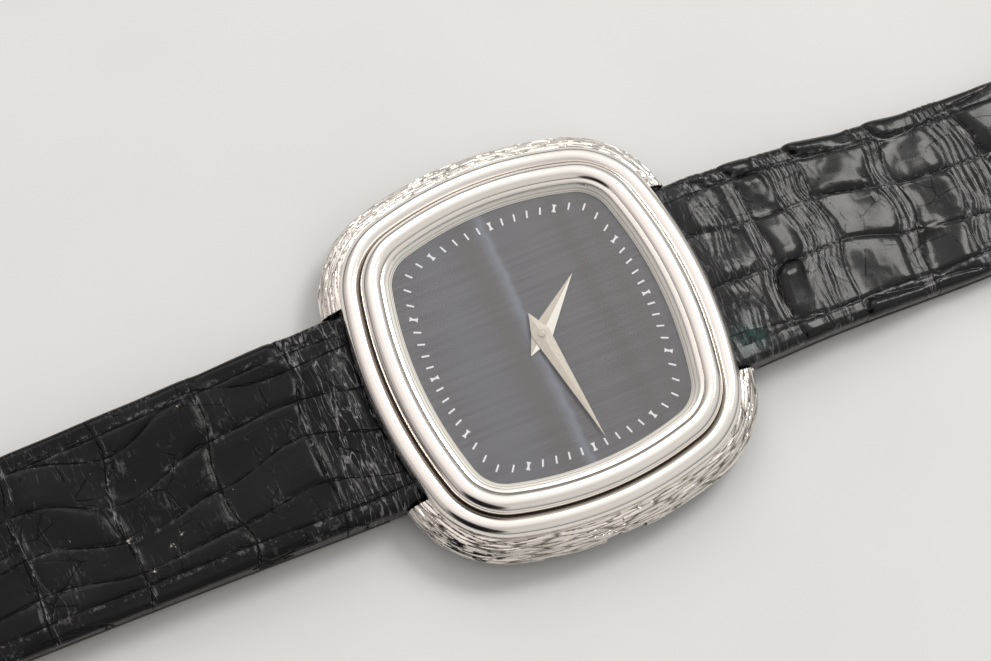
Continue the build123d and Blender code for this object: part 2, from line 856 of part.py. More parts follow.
def make_train_bridge():
    bottom = bridge_height
    top = bridge_height + bridge_thickness
    bridge = sector(movement_radius, *train_bridge_bearings, bottom, top)
    bridge += disc(pillar_radius * 2, bottom, top)
    bridge -= disc(arbor_radius + pivot_gap, bottom - overrun, top + overrun)
    for place in train_places():
        bridge -= disc(jewel_radius, bottom - overrun, top + overrun, place)
    for place in train_pillars():
        bridge -= disc(bridge_screw_radius + press_gap, bottom - overrun, top + overrun, place)
    return bridge


def make_balance_cock():
    bottom = bridge_height
    top = bridge_height + bridge_thickness
    foot = cock_pillars()[0]
    line = foot - balance_place
    turn = math.degrees(math.atan2(line.Y, line.X))
    middle = (foot + balance_place) * 0.5
    arm = Box(line.length, pillar_radius * 2, bridge_thickness)
    cock = Pos(middle.X, middle.Y, (bottom + top) / 2) * Rot(0, 0, turn) * arm
    cock += disc(pillar_radius * cock_inset_share, bottom, top, balance_place)
    cock += disc(pillar_radius, bottom, top, foot)
    cock -= disc(jewel_radius, bottom - overrun, top + overrun, balance_place)
    return cock - disc(bridge_screw_radius + press_gap, bottom - overrun, top + overrun, foot)


def pallet_bridge_foot():
    across = unit(balance_place - escape_place)
    side = Vector(-across.Y, across.X)
    return pallet_place - side * pillar_radius * pallet_foot_share


def make_pallet_bridge():
    """Small cock under the balance that holds the lower pivot of the lever."""
    top = escape_wheel_height - running_gap * 2
    bottom = top - wheel_thickness
    foot = pallet_bridge_foot()
    line = pallet_place - foot
    turn = math.degrees(math.atan2(line.Y, line.X))
    middle = (foot + pallet_place) * 0.5
    arm = Box(line.length, pillar_radius, wheel_thickness)
    cock = Pos(middle.X, middle.Y, (bottom + top) / 2) * Rot(0, 0, turn) * arm
    cock += disc(pillar_radius / 2, bottom, top, pallet_place)
    cock += disc(pillar_radius / 2, bottom, plate_height, foot)
    return cock - disc(arbor_radius / 2 + pivot_gap, bottom - overrun, top + overrun, pallet_place)


def make_bridge_screws():
    screws = []
    for place in pillar_places():
        head_top = bridge_height
        screw = slotted_screw(place, bridge_screw_head_radius, head_top - bridge_screw_head_height, head_top,
                              bridge_screw_radius, plate_height)
        screws.append(screw)
    return screws


def make_jewels():
    jewels = []
    bore = arbor_radius / 2 + pivot_gap
    for place in train_places():
        jewels.append(ring(jewel_radius, bore, bridge_height, bridge_height + jewel_thickness, place))
    jewels.append(ring(jewel_radius, bore, bridge_height, bridge_height + jewel_thickness, balance_place))
    for place in train_places() + [pallet_place, balance_place]:
        jewels.append(ring(jewel_radius, bore, plate_height, plate_height + jewel_thickness, place))
    return jewels


# Going train

def pivoted_arbor(bottom, top, place):
    """An arbor that steps down to thin pivots at both ends."""
    arbor = disc(arbor_radius, bottom, top, place)
    return arbor + disc(arbor_radius / 2, bottom - jewel_thickness, top + jewel_thickness, place)


def train_wheel(teeth, module, height, bearing, leaves, pinion_module, pinion_height, place, pinion_bearing):
    """A brass wheel, its steel pinion and their arbor, which turn as one."""
    wheel = gear(teeth, module, height, wheel_thickness, place, bearing, arbor_radius)
    radius = pitch_radius(teeth, module)
    wheel = crossed_out(wheel, radius - module * 3, radius / 3, radius / 8, height, wheel_thickness, place)
    pinion = gear(leaves, pinion_module, pinion_height, pinion_length, place,
                  gap_bearing(pinion_bearing, leaves), arbor_radius / 2)
    return wheel + pinion


def make_centre_wheel():
    wheel = train_wheel(centre_teeth, centre_module, centre_wheel_height, third_bearing,
                        centre_pinion_leaves, barrel_module, centre_pinion_height, Vector(0, 0),
                        barrel_bearing + 180)
    arbor = disc(arbor_radius, bridge_height + pivot_gap, pipe_end_height)
    return wheel + arbor


def make_third_wheel():
    low = bridge_height + jewel_thickness + pivot_gap * 2
    wheel = train_wheel(third_teeth, third_module, third_wheel_height, fourth_bearing, third_leaves,
                        centre_module, centre_wheel_height - wheel_thickness, third_place, third_bearing)
    return wheel + pivoted_arbor(low, plate_height - pivot_gap, third_place)


def make_fourth_wheel():
    low = bridge_height + jewel_thickness + pivot_gap * 2
    wheel = train_wheel(fourth_teeth, fourth_module, fourth_wheel_height, escape_bearing, fourth_leaves,
                        third_module, third_wheel_height - wheel_thickness, fourth_place, fourth_bearing)
    return wheel + pivoted_arbor(low, plate_height - pivot_gap, fourth_place)


def make_escape_wheel():
    """Fifteen pointed teeth that lean forward, and the pinion that the fourth wheel drives."""
    bottom = escape_wheel_height
    top = escape_wheel_height + wheel_thickness
    root = escape_radius * escape_root_share
    step = math.tau / escape_teeth
    points = []
    for index in range(escape_teeth):
        corners = ((root, 0), (escape_radius, escape_front_share), (escape_radius, escape_tip_share),
                   (root, escape_back_share))
        for reach, share in corners:
            angle = step * (index + share)
            points.append((escape_place.X + reach * math.cos(angle), escape_place.Y + reach * math.sin(angle)))
    wheel = Pos(0, 0, bottom) * extrude(Face(Wire.make_polygon(points, close=True)), top - bottom)
    wheel -= disc(arbor_radius / 2, bottom - overrun, top + overrun, escape_place)
    wheel = crossed_out(wheel, root * escape_rim_share, root * escape_hub_share, root / 6, bottom,
                        wheel_thickness, escape_place)
    pinion = gear(escape_leaves, fourth_module, top, pinion_length, escape_place,
                  gap_bearing(escape_bearing, escape_leaves), arbor_radius / 2)
    low = bridge_height + jewel_thickness + pivot_gap * 2
    return wheel + pinion + pivoted_arbor(low, plate_height - pivot_gap, escape_place)


def make_pallet_fork():
    """Steel lever with a notch at one end and two arms that carry the stones."""
    bottom = escape_wheel_height
    turn = balance_bearing
    notch_reach = (balance_place - pallet_place).length - impulse_pin_reach
    length = notch_reach + impulse_pin_radius
    lever = Pos(length / 2, 0, 0) * Box(length, pallet_arm_width, pallet_thickness)
    notch = Box(impulse_pin_radius * 6, impulse_pin_radius * notch_width_share, pallet_thickness * 2)
    horn_width = impulse_pin_radius * horn_width_share
    horn_length = impulse_pin_radius * horn_length_share
    head = Pos(length - impulse_pin_radius, 0, 0) * Box(horn_length, horn_width, pallet_thickness)
    arms = Box(pallet_arm_width, escape_radius * pallet_span_share, pallet_thickness)
    fork = lever + head + arms - Pos(length, 0, 0) * notch
    fork = Pos(pallet_place.X, pallet_place.Y, bottom + pallet_thickness / 2) * Rot(0, 0, turn) * fork
    staff = disc(arbor_radius / 2, escape_wheel_height - wheel_thickness, plate_height + jewel_thickness / 2,
                 pallet_place)
    return fork + staff


def make_pallet_stones():
    """Two ruby bars let into the ends of the lever's arms."""
    stones = []
    back = Vector(-pallet_stone_length / 2 - pallet_arm_width / 2, 0)
    for side in (-1, 1):
        stone = Pos(back.X, side * escape_radius * stone_place_share, 0)
        stone = stone * Box(pallet_stone_length, pallet_stone_width, pallet_thickness)
        place = Pos(pallet_place.X, pallet_place.Y, escape_wheel_height + pallet_thickness / 2)
        stones.append(place * Rot(0, 0, balance_bearing) * stone)
    return stones


def make_balance_wheel():
    bottom = balance_height
    top = balance_height + balance_thickness
    inner = balance_radius - balance_rim_width
    wheel = ring(balance_radius, inner, bottom, top, balance_place)
    arm = Box(inner * 2 + balance_rim_width, balance_rim_width, balance_thickness / 2)
    wheel += Pos(balance_place.X, balance_place.Y, (bottom + top) / 2) * Rot(0, 0, balance_bearing) * arm
    low = bridge_height + jewel_thickness + pivot_gap * 2
    return wheel + pivoted_arbor(low, plate_height - pivot_gap, balance_place)


def make_roller():
    """Disc on the balance staff with the pin that works in the lever's notch."""
    bottom = balance_height + balance_thickness + running_gap
    top = bottom + wheel_thickness
    roller = ring(roller_radius, arbor_radius + press_gap, bottom, top, balance_place)
    pin = balance_place - unit(balance_place - pallet_place) * impulse_pin_reach
    return roller + disc(impulse_pin_radius, top - press_gap, escape_wheel_height + pallet_thickness, pin)


def make_hairspring():
    return spiral_ribbon(hairspring_inner_radius, hairspring_pitch, hairspring_turns, hairspring_width,
                         hairspring_height, hairspring_tall, balance_place)


# Barrel and winding

def make_barrel():
    """Toothed drum that holds the mainspring and drives the centre pinion."""
    bottom = barrel_height
    top = barrel_height + barrel_drum_height
    drum = disc(barrel_drum_radius, bottom, top, barrel_place)
    drum -= disc(barrel_drum_radius - barrel_wall, bottom + barrel_wall, top - barrel_wall, barrel_place)
    teeth = gear(barrel_teeth, barrel_module, top - barrel_tooth_height, barrel_tooth_height, barrel_place,
                 barrel_bearing + 180, barrel_drum_radius - press_gap)
    drum = drum + teeth
    return drum - disc(barrel_arbor_radius + running_gap, bottom - overrun, top + overrun, barrel_place)


def make_barrel_arbor():
    bottom = ratchet_height + ratchet_thickness
    top = barrel_height + barrel_drum_height + running_gap
    arbor = disc(barrel_arbor_radius, bottom, top, barrel_place)
    return arbor + disc(barrel_arbor_radius / 2, bottom, plate_height + jewel_thickness, barrel_place)


def make_mainspring():
    bottom = barrel_height + barrel_wall + running_gap
    tall = barrel_drum_height - (barrel_wall + running_gap) * 2
    return spiral_ribbon(mainspring_inner_radius, mainspring_pitch, mainspring_turns, mainspring_width,
                         bottom, tall, barrel_place)


def ratchet_bearing():
    line = crown_wheel_place - barrel_place
    return math.degrees(math.atan2(line.Y, line.X))


def make_ratchet_wheel():
    return gear(ratchet_teeth, ratchet_module, ratchet_height, ratchet_thickness, barrel_place,
                ratchet_bearing(), barrel_arbor_radius / 2)


def make_crown_wheel():
    return gear(crown_wheel_teeth, ratchet_module, ratchet_height, ratchet_thickness, crown_wheel_place,
                gap_bearing(ratchet_bearing(), crown_wheel_teeth), crown_wheel_post_radius() + running_gap)


def click_point():
    tip_radius_at_ratchet = pitch_radius(ratchet_teeth, ratchet_module) + ratchet_module
    return at_bearing(tip_radius_at_ratchet + running_gap, click_bearing, barrel_place)


def click_pivot():
    side = at_bearing(click_length, click_bearing + click_pivot_turn)
    return click_point() + side


def make_click():
    """Pawl that lets the ratchet wheel turn one way."""
    pivot = click_pivot()
    line = click_point() - pivot
    turn = math.degrees(math.atan2(line.Y, line.X))
    half = click_width / 2
    points = [(0, -half), (line.length - half, -half), (line.length, 0), (line.length - half, half), (0, half)]
    blade = extrude(make_face(Curve(polygon_edges(points))), ratchet_thickness)
    click = Pos(pivot.X, pivot.Y, ratchet_height) * Rot(0, 0, turn) * blade
    click = click + disc(half, ratchet_height, ratchet_height + ratchet_thickness, pivot)
    return click - disc(arbor_radius + running_gap, 0, ratchet_height + overrun, pivot)


def make_click_spring():
    """Bent wire that presses on the pawl's back."""
    pivot = click_pivot()
    radius = click_width * click_spring_share
    spring = ring(radius, radius - wheel_thickness, ratchet_height, bridge_height, pivot)
    line = click_point() - pivot
    turn = math.degrees(math.atan2(line.Y, line.X))
    cut = Box(radius * 2, radius * 2, overrun * 2)
    shift = Pos(radius * click_spring_cut_share, 0, 0)
    return spring - Pos(pivot.X, pivot.Y, ratchet_height) * Rot(0, 0, turn) * shift * cut


# Crown and stem

def make_crown():
    """Small knurled crown under the overhang of the flank, with a hollow for its washer."""
    crown = rod_along_x(crown_radius, crown_inner_x, crown_outer_x, 0, stem_height)
    middle = (crown_inner_x + crown_outer_x) / 2
    for index in range(crown_knurls):
        turn = math.tau / crown_knurls * index
        y = crown_radius * math.cos(turn)
        z = stem_height + crown_radius * math.sin(turn)
        crown -= rod_along_x(crown_knurl_radius, crown_inner_x - overrun, middle + overrun, y, z)
    inner_end = crown_inner_x + crown_washer_thickness * 2
    crown -= rod_along_x(crown_washer_radius + seat_gap, crown_inner_x - overrun, inner_end, 0, stem_height)
    return crown


def make_crown_washer():
    start = crown_inner_x + crown_washer_thickness
    end = crown_inner_x + crown_washer_thickness * 2
    washer = rod_along_x(crown_washer_radius, start, end, 0, stem_height)
    return washer - rod_along_x(stem_radius + press_gap, start - overrun, end + overrun, 0, stem_height)


def make_stem():
    """Rod from crown to movement, with a neck that the setting lever grips."""
    stem = rod_along_x(stem_radius, stem_inner_x, crown_inner_x + crown_washer_thickness * 2, 0, stem_height)
    neck_end = stem_neck_x + stem_neck_length
    groove = rod_along_x(stem_radius + overrun, stem_neck_x, neck_end, 0, stem_height)
    groove -= rod_along_x(stem_neck_radius, 0, crown_outer_x, 0, stem_height)
    return stem - groove


def make_setting_lever():
    """Fork that sits in the neck of the stem and moves with it when the crown is pulled."""
    start = stem_neck_x + running_gap
    end = stem_neck_x + stem_neck_length - running_gap
    low = Vector(start, -lever_half_width, stem_height - lever_drop)
    high = Vector(end, lever_half_width, stem_height + lever_drop)
    arm_low = Vector(start, -lever_half_width - lever_arm_length, stem_height)
    arm_high = Vector(end, -lever_half_width, stem_height + lever_drop)
    neck = stem_neck_radius + running_gap
    lever = block(low, high) + block(arm_low, arm_high)
    lever -= rod_along_x(neck, 0, crown_outer_x, 0, stem_height)
    return lever - block(Vector(0, -neck, stem_height), Vector(crown_outer_x, neck, plate_height))


def gear_along_x(teeth, module, start, length, bore):
    wheel = gear(teeth, module, 0, length, Vector(0, 0), 180 / teeth, bore)
    return Pos(start, 0, stem_height) * Rot(0, 90, 0) * wheel


def make_winding_pinion():
    return gear_along_x(winding_teeth, winding_module, winding_pinion_x, winding_pinion_length,
                        stem_radius + pinion_stem_gap)


def make_sliding_pinion():
    start = winding_pinion_x + winding_pinion_length + sliding_pinion_gap
    radius = pitch_radius(winding_teeth, winding_module)
    pinion = rod_along_x(radius, start, start + sliding_pinion_length, 0, stem_height)
    waist_start = start + sliding_pinion_length / 3
    waist = rod_along_x(radius + overrun, waist_start, waist_start + sliding_pinion_length / 3, 0, stem_height)
    waist -= rod_along_x(radius - winding_module, 0, crown_outer_x, 0, stem_height)
    bore = rod_along_x(stem_radius + pinion_stem_gap, 0, crown_outer_x, 0, stem_height)
    return pinion - waist - bore


# Strap

def strap_place(along_share, length, side):
    return side * (bar_y + along_share * length)


def strap_side_edges(shares, length, side, end_edges):
    """Upper and lower curves of a strap half in the YZ plane, from the nose to its end."""
    nose_top = (side * bar_y, bar_height + strap_nose_radius)
    nose_bottom = (side * bar_y, bar_height - strap_nose_radius)
    nose_back = (side * (bar_y - strap_nose_radius), bar_height)
    upper = [nose_top]
    lower = [nose_bottom]
    for along, rise, thick in shares:
        y = strap_place(along, length, side)
        top = (bar_height + strap_nose_radius) * rise
        upper.append((y, top))
        lower.append((y, top - strap_nose_radius * 2 * thick))
    upper += end_edges[0]
    lower += end_edges[1]
    flat = (side, 0)
    top_curve = Spline(*upper, tangents=(flat, flat))
    bottom_curve = Spline(*lower, tangents=(flat, flat))
    nose = ThreePointArc(nose_bottom, nose_back, nose_top)
    return top_curve, bottom_curve, nose, lower


def along_yz(edges):
    """A face drawn as (Y, Z) points, thick enough to span the strap."""
    face = make_face(Plane.YZ * Curve(edges))
    return extrude(face, strap_case_width, both=True)


def strap_plan(shares, length, side, end_x, tip):
    """The strap half seen from above, with a curved edge down each side."""
    edges = []
    ends = []
    for flank in (-1, 1):
        half = strap_case_width / 2 * flank
        points = [(half, side * (bar_y - strap_nose_radius * 2)), (half, side * (bar_y + strap_nose_radius))]
        for along, drift, narrow in shares:
            width = strap_case_width + (strap_end_width - strap_case_width) * narrow
            points.append((strap_drift * drift + width / 2 * flank, strap_place(along, length, side)))
        points.append((end_x + strap_end_width / 2 * flank, side * (bar_y + length - tip)))
        edges.append(Spline(*points))
        ends.append(points)
    edges.append(Line(ends[0][0], ends[1][0]))
    if tip > 0:
        point = (end_x, side * (bar_y + length))
        for row in ends:
            middle = ((row[-1][0] + end_x) / 2 + (row[-1][0] - end_x) / 4, side * (bar_y + length - tip / 2))
            edges.append(ThreePointArc(row[-1], middle, point))
    else:
        far = side * (bar_y + length + buckle_end_radius * 2)
        for row in ends:
            edges.append(Line(row[-1], (row[-1][0], far)))
        edges.append(Line((ends[0][-1][0], far), (ends[1][-1][0], far)))
    face = make_face(Curve(edges))
    return extrude(face, bar_height * 4, both=True)


def lining_cutter(lower, side, first, last):
    """The lowest layer of a strap half between two of the places on its underside."""
    flat = (side, 0)
    inner = [(y, z + lining_thickness) for y, z in lower]
    outer = [(y, z - overrun) for y, z in lower]
    edges = [
        Spline(*inner, tangents=(flat, flat)),
        Line(inner[-1], outer[-1]),
        Spline(*outer, tangents=(flat, flat)),
        Line(inner[0], outer[0]),
    ]
    start, stop = sorted((first, last))
    low = Vector(-strap_case_width, start, -overrun * 4)
    high = Vector(strap_case_width, stop, bar_height * 2)
    return along_yz(edges) & block(low, high)


def buckle_axis_y():
    return bar_y + buckle_strap_length


def buckle_drift():
    return strap_drift * buckle_plan_shares[-1][1]


def make_buckle_strap():
    """Half on the 12 side: it carries the keepers and ends in a loop round the buckle's bar."""
    end_y = buckle_axis_y()
    ends = ([(end_y, buckle_end_height + buckle_end_radius)], [(end_y, buckle_end_height - buckle_end_radius)])
    top, bottom, nose, lower = strap_side_edges(buckle_side_shares, buckle_strap_length, 1, ends)
    loop = ThreePointArc(ends[0][0], (end_y + buckle_end_radius, buckle_end_height), ends[1][0])
    whole = along_yz([top, loop, bottom, nose])
    whole &= strap_plan(buckle_plan_shares, buckle_strap_length, 1, buckle_drift(), 0)
    whole -= rod_along_x(bar_radius + bar_hole_gap, -strap_case_width, strap_case_width, bar_y, bar_height)
    whole -= rod_along_x(buckle_bar_radius + buckle_bar_gap, -strap_case_width, strap_case_width, end_y,
                         buckle_end_height)
    slot_half = tongue_width / 2 + tongue_slot_gap
    low = Vector(buckle_drift() - slot_half, end_y - tongue_loop_radius * 3, -overrun)
    high = Vector(buckle_drift() + slot_half, end_y + tongue_loop_radius * 3, bar_height * 2)
    whole -= block(low, high)
    cutter = lining_cutter(lower, 1, lower[1][0], lower[-2][0])
    return whole - cutter, whole & cutter


def make_tail_strap():
    """Half on the 6 side: holes for the buckle's tongue and a pointed end."""
    end_y = -(bar_y + tail_strap_length)
    last_top = (bar_height + strap_nose_radius) * tail_side_shares[-1][1]
    last_thick = strap_nose_radius * 2 * tail_side_shares[-1][2]
    ends = ([(end_y, last_top)], [(end_y, last_top - last_thick)])
    top, bottom, nose, lower = strap_side_edges(tail_side_shares, tail_strap_length, -1, ends)
    whole = along_yz([top, Line(ends[0][0], ends[1][0]), bottom, nose])
    whole &= strap_plan(tail_plan_shares, tail_strap_length, -1, 0, tail_point_length)
    whole -= rod_along_x(bar_radius + bar_hole_gap, -strap_case_width, strap_case_width, -bar_y, bar_height)
    for index in range(strap_hole_count):
        y = end_y + first_hole_from_end + strap_hole_pitch * index
        whole -= disc(strap_hole_radius, -overrun, bar_height * 2, Vector(0, y))
    cutter = lining_cutter(lower, -1, lower[1][0], lower[-1][0] - overrun)
    return whole - cutter, whole & cutter


def keeper_floor():
    top = (bar_height + strap_nose_radius) * buckle_side_shares[-1][1]
    return top - strap_nose_radius * 2 * buckle_side_shares[-1][2] - keeper_gap


def make_keeper(from_end):
    """A flat loop of leather round the strap, with room for the tail above it."""
    y = buckle_axis_y() - from_end
    half = strap_end_width / 2 + keeper_side_gap
    thick = strap_nose_radius * 2 * buckle_side_shares[-1][2]
    floor = keeper_floor()
    roof = floor + thick + keeper_room
    x = buckle_drift()
    low = Vector(x - half - keeper_wall, y - keeper_width / 2, floor - keeper_wall)
    high = Vector(x + half + keeper_wall, y + keeper_width / 2, roof + keeper_wall)
    outer = fillet(block(low, high).edges().filter_by(Axis.Y), keeper_wall)
    inner_low = Vector(x - half, low.Y - overrun, floor)
    inner_high = Vector(x + half, high.Y + overrun, roof)
    return outer - block(inner_low, inner_high)


# Buckle

def make_buckle_frame():
    """Rectangular frame with rounded front corners and two ears for the bar."""
    x = buckle_drift()
    y = buckle_axis_y()
    half = strap_end_width / 2 + buckle_side_gap
    width = (half + buckle_wire) * 2
    back = tongue_loop_radius
    length = buckle_reach + back
    outer = Pos(x, y + length / 2 - back) * Rectangle(width, length)
    outer = fillet(outer.vertices().group_by(Axis.Y)[-1], buckle_corner_radius)
    hole_length = buckle_reach - buckle_wire + back + overrun
    hole = Pos(x, y + buckle_reach - buckle_wire - hole_length / 2) * Rectangle(half * 2, hole_length)
    frame = extrude(outer, buckle_thickness) - Pos(0, 0, -overrun) * extrude(hole, buckle_thickness + overrun * 2)
    reach = half + buckle_wire * buckle_ear_share
    bar = rod_along_x(buckle_bar_radius + press_gap, x - reach, x + reach, y, buckle_end_height)
    return frame - bar


def make_buckle_bar():
    x = buckle_drift()
    half = strap_end_width / 2 + buckle_side_gap + buckle_wire * buckle_ear_share - seat_gap
    return rod_along_x(buckle_bar_radius, x - half, x + half, buckle_axis_y(), buckle_end_height)


def make_buckle_tongue():
    """Pin with an eye round the bar; its tip rests on the front of the frame."""
    x = buckle_drift()
    y = buckle_axis_y()
    eye = rod_along_x(tongue_loop_radius, x - tongue_width / 2, x + tongue_width / 2, y, buckle_end_height)
    bottom = buckle_thickness + seat_gap
    tip_y = y + buckle_reach - buckle_wire / 4
    points = [(y, buckle_end_height), (y, buckle_end_height + tongue_loop_radius),
              (y + buckle_reach / 2, bottom + tongue_thickness), (tip_y, bottom + tongue_thickness * tongue_tip_share),
              (tip_y, bottom), (y + buckle_reach / 2, bottom), (y + tongue_loop_radius, buckle_end_height)]
    blade = extrude(make_face(Plane.YZ * Curve(polygon_edges(points))), tongue_width / 2, both=True)
    tongue = eye + Pos(x, 0, 0) * blade
    bore = rod_along_x(buckle_bar_radius + running_gap, x - tongue_width, x + tongue_width, y, buckle_end_height)
    return tongue - bore


# Spring bars

def make_bar_tube(side):
    tube = rod_along_x(bar_radius, -bar_half_length, bar_half_length, side * bar_y, bar_height)
    return tube - rod_along_x(bar_bore_radius, -strap_case_width, strap_case_width, side * bar_y, bar_height)


def make_bar_tip(side, end):
    start = bar_half_length - tip_inside
    stop = slot_half_width + tip_seat
    low, high = sorted((start * end, stop * end))
    return rod_along_x(tip_radius, low, high, side * bar_y, bar_height)


def make_bar_spring(side):
    """Fine coil inside the bar that pushes both tips outwards."""
    reach = bar_half_length - tip_inside - seat_gap
    pitch = reach * 2 / bar_spring_turns
    radius = bar_spring_radius - bar_spring_wire
    helix = Helix(pitch, reach * 2, radius)
    start = helix @ 0
    section = Plane(origin=start, z_dir=helix % 0) * Circle(bar_spring_wire)
    coil = sweep(section, path=helix)
    return Pos(-reach, side * bar_y, bar_height) * Rot(0, 90, 0) * coil


def save(name, shape):
    solids = []
    for piece in shape if isinstance(shape, list) else [shape]:
        solids += piece.solids()
    body = solids[0] if len(solids) == 1 else Compound(children=solids)
    body.label = name
    export_step(body, os.path.join("parts", name + ".step"))


os.makedirs("parts", exist_ok=True)

buckle_strap_leather, buckle_strap_lining = make_buckle_strap()
tail_strap_leather, tail_strap_lining = make_tail_strap()

pieces = {
    "bezel": make_bezel(),
    "crystal": make_crystal(),
    "crystal_gasket": make_crystal_gasket(),
    "rehaut_ring": make_rehaut_ring(),
    "case_middle": make_case_middle(),
    "case_back": make_case_back(),
    "case_back_gasket": make_back_gasket(),
    "case_back_screws": make_back_screws(),
    "movement_holder": make_movement_holder(),
    "dial": make_dial(),
    "dial_markers": make_dial_markers(),
    "hour_hand": make_hour_hand(),
    "minute_hand": make_minute_hand(),
    "cannon_pinion": make_cannon_pinion(),
    "minute_wheel": make_minute_wheel(),
    "hour_wheel": make_hour_wheel(),
    "main_plate": make_main_plate(),
    "barrel_bridge": make_barrel_bridge(),
    "train_bridge": make_train_bridge(),
    "balance_cock": make_balance_cock(),
    "pallet_bridge": make_pallet_bridge(),
    "bridge_screws": make_bridge_screws(),
    "jewels": make_jewels(),
    "centre_wheel": make_centre_wheel(),
    "third_wheel": make_third_wheel(),
    "fourth_wheel": make_fourth_wheel(),
    "escape_wheel": make_escape_wheel(),
    "pallet_fork": make_pallet_fork(),
    "pallet_stones": make_pallet_stones(),
    "balance_wheel": make_balance_wheel(),
    "roller": make_roller(),
    "hairspring": make_hairspring(),
    "barrel": make_barrel(),
    "barrel_arbor": make_barrel_arbor(),
    "mainspring": make_mainspring(),
    "ratchet_wheel": make_ratchet_wheel(),
    "crown_wheel": make_crown_wheel(),
    "click": make_click(),
    "click_spring": make_click_spring(),
    "crown": make_crown(),
    "crown_washer": make_crown_washer(),
    "winding_stem": make_stem(),
    "setting_lever": make_setting_lever(),
    "winding_pinion": make_winding_pinion(),
    "sliding_pinion": make_sliding_pinion(),
    "strap_12_leather": buckle_strap_leather,
    "strap_12_lining": buckle_strap_lining,
    "strap_6_leather": tail_strap_leather,
    "strap_6_lining": tail_strap_lining,
    "fixed_keeper": make_keeper(fixed_keeper_from_end),
    "free_keeper": make_keeper(free_keeper_from_end),
    "buckle_frame": make_buckle_frame(),
    "buckle_bar": make_buckle_bar(),
    "buckle_tongue": make_buckle_tongue(),
    "spring_bar_tubes": [make_bar_tube(1), make_bar_tube(-1)],
    "bar_12_left_tip": make_bar_tip(1, -1),
    "bar_12_right_tip": make_bar_tip(1, 1),
    "bar_6_left_tip": make_bar_tip(-1, -1),
    "bar_6_right_tip": make_bar_tip(-1, 1),
    "spring_bar_springs": [make_bar_spring(1), make_bar_spring(-1)],
}

for name, shape in pieces.items():
    save(name, shape)
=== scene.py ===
import math

import bpy
import numpy as np
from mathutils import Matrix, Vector


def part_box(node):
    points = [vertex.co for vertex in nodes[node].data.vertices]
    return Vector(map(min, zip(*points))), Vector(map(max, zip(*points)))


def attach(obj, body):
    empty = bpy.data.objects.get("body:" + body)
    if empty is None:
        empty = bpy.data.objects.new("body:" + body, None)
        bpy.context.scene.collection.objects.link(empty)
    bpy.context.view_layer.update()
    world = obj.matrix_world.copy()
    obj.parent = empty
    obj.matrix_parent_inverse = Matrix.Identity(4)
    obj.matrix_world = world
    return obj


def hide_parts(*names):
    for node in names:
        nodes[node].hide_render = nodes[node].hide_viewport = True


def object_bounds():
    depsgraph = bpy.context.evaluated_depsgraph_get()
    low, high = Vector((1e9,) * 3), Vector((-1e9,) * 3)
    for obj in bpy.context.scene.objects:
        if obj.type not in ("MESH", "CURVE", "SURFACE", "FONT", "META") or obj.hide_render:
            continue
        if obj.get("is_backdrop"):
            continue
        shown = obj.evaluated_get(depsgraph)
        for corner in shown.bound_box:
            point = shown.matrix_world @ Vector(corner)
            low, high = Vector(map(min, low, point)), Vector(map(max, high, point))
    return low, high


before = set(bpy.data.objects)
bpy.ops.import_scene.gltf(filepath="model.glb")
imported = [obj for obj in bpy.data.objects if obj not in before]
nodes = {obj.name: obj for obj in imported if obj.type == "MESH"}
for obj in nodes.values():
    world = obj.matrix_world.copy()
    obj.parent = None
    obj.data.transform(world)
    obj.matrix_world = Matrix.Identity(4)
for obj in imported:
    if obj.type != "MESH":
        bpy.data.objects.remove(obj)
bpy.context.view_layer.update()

mm = 0.001


# The camera stands where the photographer stood: close above the watch, a little to the right of
# 6 o'clock, turned so that the strap runs up to the right. A 99 mm lens keeps the case square.
camera_place = (56.96 * mm, -50.08 * mm, 224.7 * mm)
camera_angles = (18.3443, -4.7579, 65.6601)
camera_data = bpy.data.cameras.new("studio_camera")
camera_data.sensor_fit = "HORIZONTAL"
camera_data.sensor_width = 36
camera_data.lens = 98.67
camera_data.clip_start = 0.01
camera_data.clip_end = 10
camera = bpy.data.objects.new("studio_camera", camera_data)
camera.location = camera_place
camera.rotation_euler = [math.radians(angle) for angle in camera_angles]
bpy.context.scene.collection.objects.link(camera)
bpy.context.scene.camera = camera
bpy.context.scene.view_settings.view_transform = "Standard"


# The table is a plain pale sheet of matt card, big enough to fill every view. Its faint mottle is
# drawn far coarser than the fibre of real card, which would not show.
def linear(code):
    """A colour written as sRGB hex, turned to linear light."""
    parts = [int(code[k:k + 2], 16) / 255 for k in (1, 3, 5)]
    return tuple([p / 12.92 if p <= 0.04045 else ((p + 0.055) / 1.055) ** 2.4 for p in parts] + [1.0])


def fill_sockets(tree, node, sockets):
    """Links each input to another node's output, or gives it a fixed value or a hex colour."""
    for key, value in sockets.items():
        if isinstance(value, bpy.types.NodeSocket):
            tree.links.new(value, node.inputs[key])
        else:
            node.inputs[key].default_value = linear(value) if isinstance(value, str) else value


def add_node(tree, kind, sockets, output=0, **settings):
    """Adds a node and returns one output. A Mix of colours takes them at 6 and 7 and gives 2."""
    made = tree.nodes.new("ShaderNode" + kind)
    for key, value in settings.items():
        setattr(made, key, value)
    fill_sockets(tree, made, sockets)
    return made.outputs[output]


def new_finish(name, **constants):
    """A material with some constants set; returns it, its tree, its shader and the place on the object."""
    finish = bpy.data.materials.new(name)
    finish.use_nodes = True
    shader = finish.node_tree.nodes["Principled BSDF"]
    for key, value in constants.items():
        shader.inputs[key.replace("_", " ")].default_value = value
    return finish, finish.node_tree, shader, add_node(finish.node_tree, "TexCoord", {}, "Object")


